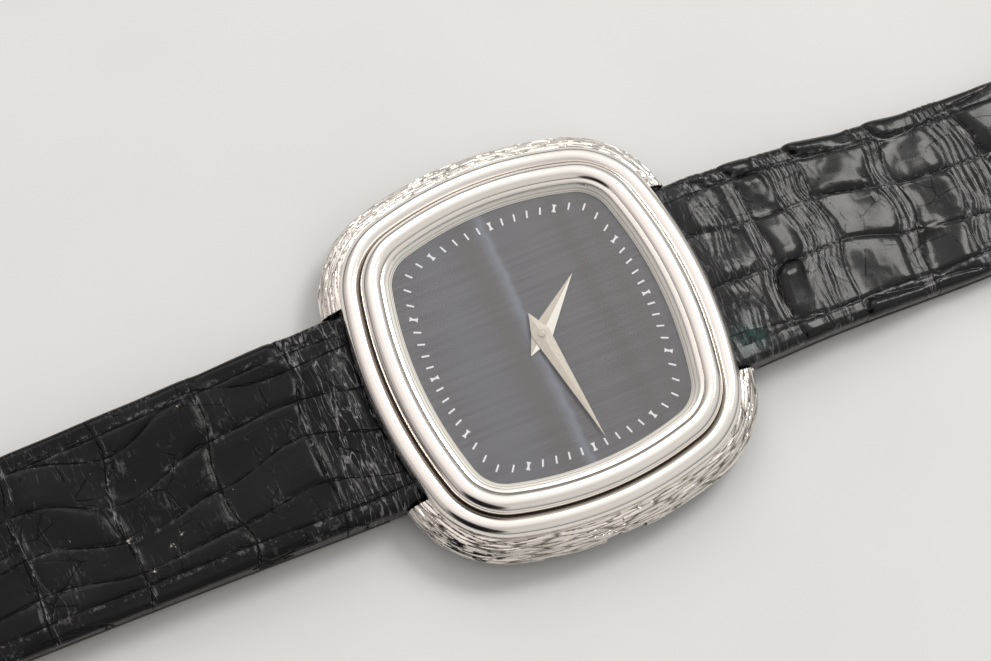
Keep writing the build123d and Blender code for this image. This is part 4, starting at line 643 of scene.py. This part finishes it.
def strap_body(name, node, places, top_steps, corner, relief):
    """A closed strap half. relief(across, along, half) gives the height added to its top, in mm."""
    top, under, left, right = strap_outline(node, places)
    if abs(places[-1]) > buckle_end:
        right[-1] = left[-1] = 0
    half = np.maximum((right - left) / 2, 0.001 * mm)
    centre = (right + left) / 2
    tall = top - under
    turned = np.minimum(np.minimum(corner, tall * 0.48), half * 0.9)
    foot = np.minimum(turned * 0.4, 0.25 * mm)
    arc_steps, wall_steps, base_steps = 9, 4, 12
    side = [(half - turned, top, 0, 1, 1)]
    for k in range(1, arc_steps + 1):
        over, up = math.sin(math.pi / 2 * k / arc_steps), math.cos(math.pi / 2 * k / arc_steps)
        side.append((half - turned + turned * over, top - turned + turned * up, over, up,
                     1 - 0.7 * k / arc_steps))
    for k in range(1, wall_steps + 1):
        side.append((half, top - turned + (under + foot - top + turned) * k / wall_steps, 1, 0,
                     0.3 * (1 - k / wall_steps)))
    side.append((half - foot * 0.3, under + foot * 0.3, 0, 0, 0))
    ring = [((-1 + 2 * k / top_steps) * (half - turned), top, 0, 1, 1) for k in range(top_steps)] + side
    ring += [((half - foot) * (1 - 2 * k / base_steps), under, 0, 0, 0) for k in range(base_steps + 1)]
    ring += [(-x, z, -out_x, out_z, weight) for x, z, out_x, out_z, weight in reversed(side)]
    x, z = (np.array([point[k] for point in ring]) for k in (0, 1))
    out_x, out_z, weight = (np.array([point[k] for point in ring])[:, None] for k in (2, 3, 4))
    along = np.broadcast_to(np.abs(places) / mm, x.shape)
    height, values = relief(x / mm, along, half / mm)
    height = height * weight * np.minimum(1, tall / (1.2 * mm)) * mm
    points = np.stack([x + centre + out_x * height, np.broadcast_to(places, x.shape), z + out_z * height],
                      axis=-1)
    body, row, column = shaped_grid(name, len(places), len(points), points)
    for label, value in values.items():
        add_values(body, label, value[row, column])
    close_and_smooth(body, 60, merge=0.002 * mm, fill=True)
    return body


def hide(row, lane, pleats, wander, swell, lean, seed):
    """Relief of one hide: rows of scales across the strap, parted by cracks or by a pleated share.

    row and lane are the length and width of a scale in mm, and pleats is the pleated share of a row.
    wander and lean are how uneven the lanes and scales are, and swell is how far a scale stands out.
    """
    first_row, folds_at, folds_end, case_edge = 21.0, 18.6, 21.2, 15.7
    rounding, pillow_slope = 1.2, 0.6
    pleat_pitch = 0.62
    crack_half = 0.16

    def relief(across, along, half):
        flat = 0 * along
        bent = (along - first_row + ripple(across / 5.5, flat, seed) * 0.8
                + ripple(along / 6.0, across / 3.4, seed + 1) * 0.5)
        rows = bent / row + ripple(along / 10.0, flat, seed + 13) * 0.16
        lanes = across / lane + 0.5 + ripple(along / 7.5, across / 8.0, seed + 2) * wander
        lanes += ripple(rows, flat, seed + 14) * 0.22
        row_number, lane_number = np.floor(rows), np.floor(lanes)
        in_row, in_lane = rows - row_number, lanes - lane_number
        side_room = np.minimum(in_lane, 1 - in_lane) * lane
        fold_share = pleats * (0.35 + 1.3 * chance(row_number, 0, seed + 15))
        row_room = np.minimum(in_row, 1 - fold_share - in_row) * row
        past = np.hypot(np.clip(rounding - side_room, 0, None), np.clip(rounding - row_room, 0, None))
        pillow = 1 - np.exp(-np.clip(rounding - past, 0, None) / pillow_slope)
        tilt = (chance(lane_number, row_number, seed + 3) - 0.5) * (in_lane - 0.5) * lane
        tilt += (chance(lane_number, row_number, seed + 4) - 0.5) * (in_row - 0.5) * row
        in_pleats = np.clip(-row_room / 0.25 + 0.4, 0, 1)
        by_case = np.clip((folds_end - along) / 1.5, 0, 1)
        phase = bent / pleat_pitch + ripple(across / 2.2, along / 2.0, seed + 5) * 0.7 + lane_number * 0.37
        pleat = 0.5 + 0.5 * np.cos(2 * math.pi * phase)
        pleat *= 0.15 + 0.85 * np.clip(ripple(across / 2.0, along / 1.1, seed + 6) + 0.5, 0, 1)
        crumple = 1 - 2 * np.abs(ripple(along / 0.8, across / 1.1, seed + 7))
        seam = half - np.abs(across) - crease_in - ripple(along / 5, flat, seed + 8) * 0.12
        inner = 1 / (1 + np.exp(-seam / 0.15))
        groove = np.exp(-(side_room / 0.17) ** 2) * (1 - 0.6 * in_pleats)
        for room in (np.minimum(in_row, 1 - in_row) * row, seam):
            groove = np.maximum(groove, np.exp(-(room / crack_half) ** 2))
        fold_at = along - folds_at - ripple(across / 4, flat, seed + 9) * 0.5
        folds = sum(depth * np.exp(-((fold_at - place) / spread) ** 2)
                    for depth, place, spread in ((1.0, 0.0, 0.2), (0.7, 0.8, 0.17), (0.5, -0.9, 0.2)))
        folds *= 0.5 + ripple(across / 1.7, flat, seed + 10) * 0.5
        lie = (ripple(along / 9.0, across / 6.0, seed + 11) * 0.11
               + ripple(along / 2.6, across / 2.2, seed + 12) * lean * 0.27)
        height = pillow * swell * (0.3 + 0.7 * inner) * (1 - by_case * 0.7) + tilt * lean * pillow
        height -= groove * (0.03 + swell * 0.42) * (1 - by_case * 0.6)
        height += in_pleats * pleat * 0.11 + inner * 0.05 - folds * 0.13 + lie + crumple * 0.012
        height = height * np.clip((along - case_edge) / 1.8, 0, 1) - 0.02
        return height, {"lane": lanes, "row": rows, "edge": seam, "pleated": np.maximum(in_pleats, by_case)}
    return relief


def hole_punches():
    """Round punches for the seven holes of the long half."""
    punches = []
    for k in range(hole_count):
        bpy.ops.object.select_all(action="DESELECT")
        bpy.ops.mesh.primitive_cylinder_add(
            vertices=40, radius=hole_radius, depth=cutter_height,
            location=(0, -tail_end + first_hole_in + hole_pitch * k, 1.5 * mm))
        punches.append(bpy.context.object)
    return punches


def hide_finish(name, row, lane, shine, coat, wear_and_sheen, flecks, stain):
    """Glazed black alligator: thin cracks between the scales, pale worn flecks, and rubbed folds and scale
    rims with painted highlights.

    It is near black and glossy on the scales. It is grey on the folds, the scale rims by the cracks and the
    crease by the turned edge, partly from wear and partly as painted highlight. row and lane are a scale's
    size in mm. The three numbers after shine and coat are how strong the rubbed and highlit folds, the chips
    and the teal stain are.
    """
    finish, tree, shader, place = new_finish(name, Roughness=0.3, Specular_IOR_Level=shine, Coat_Weight=coat,
                                      Coat_Roughness=0.12)
    lanes, rows, edge, pleated = (add_node(tree, "Attribute", {}, "Fac", attribute_name=label)
                                  for label in ("lane", "row", "edge", "pleated"))
    shaken, cloud, pores, wander, chips, specks = (
        add_node(tree, "TexNoise", {"Vector": place, "Scale": scale / mm, "Detail": detail,
                                    "Roughness": rough})
        for scale, detail, rough in ((1.5, 4.0, 0.7), (0.3, 6.0, 0.65), (7, 4.0, 0.5), (0.62, 2.0, 0.5),
                                     (0.56, 5.0, 0.62), (3.4, 1.0, 0.5))
    )
    shift = add_node(tree, "Math", {0: wander, 1: 0.5, 2: -0.25}, operation="MULTIPLY_ADD")
    crack = banks = 0.0
    for value, pitch, way in ((lanes, lane, "PINGPONG"), (rows, row, "PINGPONG"), (edge, 1.0, "ABSOLUTE")):
        away = add_node(tree, "Math", {0: value, 1: 0.5}, operation=way)
        room = add_node(tree, "Math", {0: away, 1: pitch, 2: shift}, operation="MULTIPLY_ADD")
        size = add_node(tree, "Math", {0: room}, operation="ABSOLUTE")
        line = add_node(tree, "MapRange", {"Value": size, "From Max": 0.085, "To Min": 1.0, "To Max": 0.0},
                        interpolation_type="SMOOTHSTEP")
        bank = add_node(tree, "MapRange", {"Value": size, "From Min": 0.08, "From Max": 0.5, "To Min": 1.0,
                                           "To Max": 0.0}, interpolation_type="SMOOTHSTEP")
        crack = add_node(tree, "Math", {0: crack, 1: line}, operation="MAXIMUM")
        banks = add_node(tree, "Math", {0: banks, 1: bank}, operation="MAXIMUM")
    veins = add_node(tree, "TexVoronoi", {"Vector": place, "Scale": 0.3 / mm}, "Distance",
                     feature="DISTANCE_TO_EDGE")
    vein_room = add_node(tree, "Math", {0: shift, 1: 0.12, 2: veins}, operation="MULTIPLY_ADD")
    fold_size = add_node(tree, "Mapping", {"Vector": place, "Scale": (0.24 / mm, 1.25 / mm, 0.24 / mm)})
    folds = add_node(tree, "TexNoise", {"Vector": fold_size, "Scale": 1.0, "Detail": 2.0, "Distortion": 0.35})
    from_fold = add_node(tree, "Math", {0: folds, 1: 0.5}, operation="SUBTRACT")
    fold_room = add_node(tree, "Math", {0: from_fold}, operation="ABSOLUTE")
    from_edge = add_node(tree, "Math", {0: edge, 1: 0.32}, operation="ADD")
    edge_room = add_node(tree, "Math", {0: from_edge}, operation="ABSOLUTE")
    stain_room = add_node(tree, "VectorMath", {0: place, 1: (6.6 * mm, 17.0 * mm, 3.0 * mm)}, "Value",
                          operation="DISTANCE")
    share = {}
    for part, source, first, last, low, high, curve in (
        ("vein", vein_room, 0.004, 0.018, 0.75, 0.0, "LINEAR"),
        ("vein patch", cloud, 0.48, 0.56, 0.0, 1.0, "LINEAR"),
        ("fold", fold_room, 0.004, 0.026, wear_and_sheen, 0.0, "SMOOTHSTEP"),
        ("folded", cloud, 0.5, 0.66, 0.0, 0.35, "LINEAR"),
        ("fold patch", shaken, 0.38, 0.6, 0.0, 1.0, "LINEAR"),
        ("edge", edge_room, 0.0, 0.3, 0.8, 0.0, "SMOOTHSTEP"),
        ("edge patch", shaken, 0.52, 0.66, 0.0, 1.0, "LINEAR"),
        ("chip", chips, 0.705, 0.735, 0.0, flecks, "LINEAR"),
        ("speck", specks, 0.7, 0.76, 0.0, 0.75, "LINEAR"),
        ("bank patch", shaken, 0.53, 0.68, 0.0, 0.8, "LINEAR"),
        ("bank cloud", cloud, 0.46, 0.6, 0.0, 1.0, "LINEAR"),
        ("stain patch", shaken, 0.4, 0.6, 0.0, 1.0, "LINEAR"),
        ("stain", stain_room, 0.5 * mm, 2.6 * mm, stain, 0.0, "SMOOTHSTEP"),
        ("glaze", cloud, 0.3, 0.7, 0.17, 0.36, "LINEAR"),
    ):
        share[part] = add_node(tree, "MapRange", {"Value": source, "From Min": first, "From Max": last,
                                                  "To Min": low, "To Max": high}, interpolation_type=curve)
    for part in ("vein", "fold", "edge", "stain"):
        patchy = {0: share[part], 1: share[part + " patch"]}
        share[part] = add_node(tree, "Math", patchy, operation="MULTIPLY")
    crack = add_node(tree, "Math", {0: crack, 1: share["vein"]}, operation="MAXIMUM")
    creased = add_node(tree, "Math", {0: pleated, 1: share["folded"]}, operation="MAXIMUM")
    rubbed_and_sheen = add_node(tree, "Math", {0: share["fold"], 1: creased}, operation="MULTIPLY")
    bank_wear_and_sheen = add_node(tree, "Math", {0: share["speck"], 1: share["bank patch"]}, operation="MAXIMUM")
    cloudy = add_node(tree, "Math", {0: bank_wear_and_sheen, 1: share["bank cloud"]}, operation="MULTIPLY")
    banked_wear_and_sheen = add_node(tree, "Math", {0: cloudy, 1: banks}, operation="MULTIPLY")
    lane_number = add_node(tree, "Math", {0: lanes}, operation="FLOOR")
    row_number = add_node(tree, "Math", {0: rows}, operation="FLOOR")
    number = add_node(tree, "CombineXYZ", {"X": lane_number, "Y": row_number})
    luck = add_node(tree, "TexWhiteNoise", {"Vector": number}, "Value", noise_dimensions="2D")
    shade = add_node(tree, "Math", {0: luck, 1: cloud}, operation="MULTIPLY")
    # Painted highlight and wear: folds, scale rims by the cracks and the edge crease are lightened; chips and
    # the teal stain are the hide's own.
    colour = "#050506"
    for amount, tone in ((shade, "#161518"), (rubbed_and_sheen, "#8f8e92"), (share["edge"], "#68676a"),
                         (banked_wear_and_sheen, "#6e6d6f"), (share["chip"], "#b9b5a9"), (crack, "#040404"),
                         (share["stain"], "#1f4f49")):
        colour = add_node(tree, "Mix", {"Factor": amount, 6: colour, 7: tone}, 2, data_type="RGBA")
    gloss = add_node(tree, "Math", {0: share["glaze"], 1: crack}, operation="MAXIMUM")
    streak_size = add_node(tree, "Mapping", {"Vector": place, "Scale": (0.55 / mm, 2.6 / mm, 0.55 / mm)})
    streaks = add_node(tree, "TexNoise", {"Vector": streak_size, "Scale": 1.0, "Detail": 3.0})
    pleat_height = add_node(tree, "Math", {0: streaks, 1: pleated}, operation="MULTIPLY")
    lowered = add_node(tree, "Math", {0: crack, 1: -0.7, 2: pleat_height}, operation="MULTIPLY_ADD")
    height = add_node(tree, "Math", {0: pores, 1: 0.12, 2: lowered}, operation="MULTIPLY_ADD")
    grain = add_node(tree, "Bump", {"Strength": 0.8, "Distance": 0.1 * mm, "Height": height})
    fill_sockets(tree, shader, {"Base Color": colour, "Roughness": gloss, "Normal": grain})
    return finish


strap_12 = strap_body("strap_12_hide", "strap_12_leather",
                      strap_places(buckle_end, 0.165 * mm, 0.24 * mm, 64 * mm, 1), 124, edge_round,
                      hide(row_12, lane_12, pleats=0.34, wander=0.22, swell=0.17, lean=0.34, seed=31))
bpy.ops.object.select_all(action="DESELECT")
bpy.ops.mesh.primitive_cube_add(size=1, location=tongue_slot_place, scale=tongue_slot_size)
cut_from(strap_12, [bpy.context.object])
strap_6 = strap_body("strap_6_hide", "strap_6_leather",
                     strap_places(tail_end, 0.17 * mm, 0.36 * mm, 62 * mm, -1), 116, edge_round,
                     hide(row_6, lane_6, pleats=0.05, wander=0.34, swell=0.07, lean=0.17, seed=57))
cut_from(strap_6, hole_punches())
finish_12 = hide_finish("alligator_black_12", row_12, lane_12, 0.22, 0.24, wear_and_sheen=0.4, flecks=0.1, stain=0.8)
finish_6 = hide_finish("alligator_black_6", row_6, lane_6, 0.14, 0.05, wear_and_sheen=0.75, flecks=1.0, stain=0.0)
for piece, finish, node, body in ((strap_12, finish_12, "strap_12_leather", "strap_12"),
                                  (strap_6, finish_6, "strap_6_leather", "strap_6")):
    piece.data.materials.clear()
    piece.data.materials.append(finish)
    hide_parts(node)
    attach(piece, body)


# Each lining is smooth brown calf, glued under the alligator. Its edges are rounded and dyed black.
# The brown shows only from below and at the holes.
def smooth_skin(across, along, half):
    """Relief of the lining, almost flat, with each corner's distance from the edge."""
    return ripple(along / 3.0, across / 3.0, 91) * 0.015, {"edge": half - np.abs(across)}


lining_steps = 150
lining_round = 0.2 * mm
calf, tree, shader, place = new_finish("calf_lining", Roughness=0.6)
grain = add_node(tree, "TexNoise", {"Vector": place, "Scale": 2.6 / mm, "Detail": 5.0, "Roughness": 0.7})
soft = add_node(tree, "TexNoise", {"Vector": place, "Scale": 0.16 / mm, "Detail": 3.0})
tone = add_node(tree, "Mix", {"Factor": soft, 6: "#6f4c34", 7: "#96704f"}, 2, data_type="RGBA")
skin = add_node(tree, "Bump", {"Strength": 0.4, "Distance": 0.05 * mm, "Height": grain})
edge = add_node(tree, "Attribute", {}, "Fac", attribute_name="edge")
inside = add_node(tree, "MapRange", {"Value": edge, "From Min": 0.5, "From Max": 1.1})
dyed = add_node(tree, "Mix", {"Factor": inside, 6: "#141213", 7: tone}, 2, data_type="RGBA")
fill_sockets(tree, shader, {"Base Color": dyed, "Normal": skin})
for name, node, body, first, last, side in (
    ("lining_12", "strap_12_lining", "strap_12", 17.3 * mm, 83.3 * mm, 1),
    ("lining_6", "strap_6_lining", "strap_6", 17.75 * mm, tail_end, -1),
):
    places = np.linspace(first, last, lining_steps) * side
    lining = strap_body(name, node, places, 20, lining_round, smooth_skin)
    if side < 0:
        cut_from(lining, hole_punches())
    lining.data.materials.clear()
    lining.data.materials.append(calf)
    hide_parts(node)
    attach(lining, body)


# Two keepers hold the tail: flat loops of the same alligator with a crease beside each edge.
# Each is a bowed strip bent round four tight corners, one keeper stitched down and one free.
keeper_wall = 0.8 * mm
keeper_bend = 0.25 * mm
keeper_crease, crease_width, crease_depth = 1.85, 0.11, 0.07
keeper_bow = 0.08
keeper_flat = 0.93
keeper_row, keeper_lane = 5.0, 4.4
keeper_finish = hide_finish("alligator_black_keeper", keeper_row, keeper_lane, 0.2, 0.15, wear_and_sheen=0.4,
                            flecks=0.0, stain=0.0)
for name, node, body in (("keeper_fixed", "fixed_keeper", "strap_12"),
                         ("keeper_free", "free_keeper", "free_keeper")):
    low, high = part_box(node)
    width = (high.y - low.y) / 2
    inset = keeper_wall + keeper_bend
    left, right, bottom, top = low.x + inset, high.x - inset, low.z + inset, high.z - inset
    corners = ((right, top, 0), (left, top, 90), (left, bottom, 180), (right, bottom, 270))
    loop = []
    for k, (corner_x, corner_z, start) in enumerate(corners):
        for step in range(9):
            angle = math.radians(start + 90 * step / 8)
            loop.append((corner_x, corner_z, math.cos(angle), math.sin(angle)))
        next_x, next_z, _start = corners[(k + 1) % 4]
        count = 40 if k % 2 == 0 else 10
        angle = math.radians(start + 90)
        for step in range(1, count):
            share = step / count
            loop.append((corner_x + (next_x - corner_x) * share, corner_z + (next_z - corner_z) * share,
                         math.cos(angle), math.sin(angle)))
    loop = np.array(loop + [loop[0]])
    reach = np.concatenate([[0], np.cumsum(np.hypot(*np.diff(loop[:, :2], axis=0).T))]) / mm
    outer = np.linspace(-keeper_flat, keeper_flat, 41)
    crease = np.exp(-((np.abs(outer) * width / mm - keeper_crease) / crease_width) ** 2) * crease_depth
    bow = (1 - outer ** 2) * keeper_bow - keeper_bow - crease
    edge_bulge = [(0.98, 0.75), (1, 0.5), (0.98, 0.2)]
    section = [(a * width, keeper_wall + b * mm) for a, b in zip(outer, bow)]
    section += [(a * width, b * keeper_wall) for a, b in edge_bulge]
    section += [(a * width, 0) for a in np.linspace(keeper_flat, -keeper_flat, 9)]
    section += [(-a * width, b * keeper_wall) for a, b in edge_bulge[::-1]]
    section = np.array(section + [section[0]])
    lifted = keeper_bend + section[:, 1:]
    points = np.stack([loop[:, 0] + loop[:, 2] * lifted,
                       np.broadcast_to((low.y + high.y) / 2 + section[:, :1], (len(section), len(loop))),
                       loop[:, 1] + loop[:, 3] * lifted], axis=-1)
    keeper, row, column = shaped_grid(name, len(loop), len(section), points)
    across, along = section[row, 0] / mm, reach[column]
    add_values(keeper, "lane", along / keeper_lane + ripple(across / 2.0, along / 3.0, 77) * 0.2)
    add_values(keeper, "row", 0.5 + across / 12.0)
    add_values(keeper, "edge", keeper_crease - np.abs(across))
    add_values(keeper, "pleated", np.zeros(len(row)))
    close_and_smooth(keeper, 50)
    keeper.data.materials.append(keeper_finish)
    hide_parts(node)
    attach(keeper, body)


# The rest keeps its solid shape: each kind of metal, stone and rubber has its own surface. The
# bridges and plate carry straight stripes under rhodium, and wheels and steel are finely brushed.
# The three numbers together are how many grains go to the millimetre in x, y and z.
kinds = {"polished_white_gold": mirror_gold, "chiselled_white_gold": bark_gold}
for slot, metallic, rough, low_tone, high_tone, grains, strength in (
    ("buckle_white_gold", 1.0, 0.14, "#e9e3dc", "#f6f1eb", (0.4, 0.4, 0.4), 0.05),
    ("steel_screw", 1.0, 0.22, "#b9bbbd", "#d9dadb", (0.9, 6, 0.9), 0.2),
    ("movement_steel", 1.0, 0.25, "#aeb0b3", "#d3d4d6", (0.9, 7, 0.9), 0.25),
    ("brass_holder", 1.0, 0.35, "#b08d4f", "#cfae6e", (3, 3, 3), 0.2),
    ("brass_wheel", 1.0, 0.28, "#c29a52", "#e0bd78", (6, 0.9, 0.9), 0.25),
    ("rhodium_plate", 1.0, 0.3, "#c9c9c8", "#e4e3e1", (0.4, 0.4, 0.4), 0.5),
    ("blued_spring", 1.0, 0.25, "#1f2f6e", "#34489a", (3, 3, 3), 0.1),
    ("black_rubber", 0.0, 0.65, "#121212", "#232323", (2.5, 2.5, 2.5), 0.3),
    ("ruby", 0.0, 0.08, "#8e0f2c", "#b71f40", (0.9, 0.9, 0.9), 0.02),
):
    kinds[slot], tree, shader, place = new_finish(slot + "_finish", Metallic=metallic, Roughness=rough)
    size = add_node(tree, "Mapping", {"Vector": place, "Scale": [count / mm for count in grains]})
    noise = add_node(tree, "TexNoise", {"Vector": size, "Scale": 1.0, "Detail": 4.0})
    height = noise
    if slot == "rhodium_plate":
        stripes = add_node(tree, "TexWave", {"Vector": place, "Scale": 0.095 / mm, "Distortion": 0.3}, "Fac",
                           bands_direction="DIAGONAL", wave_profile="SAW")
        height = add_node(tree, "Math", {0: noise, 1: 0.15, 2: stripes}, operation="MULTIPLY_ADD")
    tone = add_node(tree, "Mix", {"Factor": noise, 6: low_tone, 7: high_tone}, 2, data_type="RGBA")
    gloss = add_node(tree, "MapRange", {"Value": noise, "From Min": 0.3, "From Max": 0.7,
                                        "To Min": rough * 0.7, "To Max": rough * 1.3})
    bumps = add_node(tree, "Bump", {"Strength": strength, "Distance": 0.02 * mm, "Height": height})
    fill_sockets(tree, shader, {"Base Color": tone, "Roughness": gloss, "Normal": bumps})
for node in nodes.values():
    slot = node.material_slots[0].name
    if slot in kinds:
        node.material_slots[0].material = kinds[slot]
nodes["cannon_pinion"].material_slots[0].material = minute_gold


low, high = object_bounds()
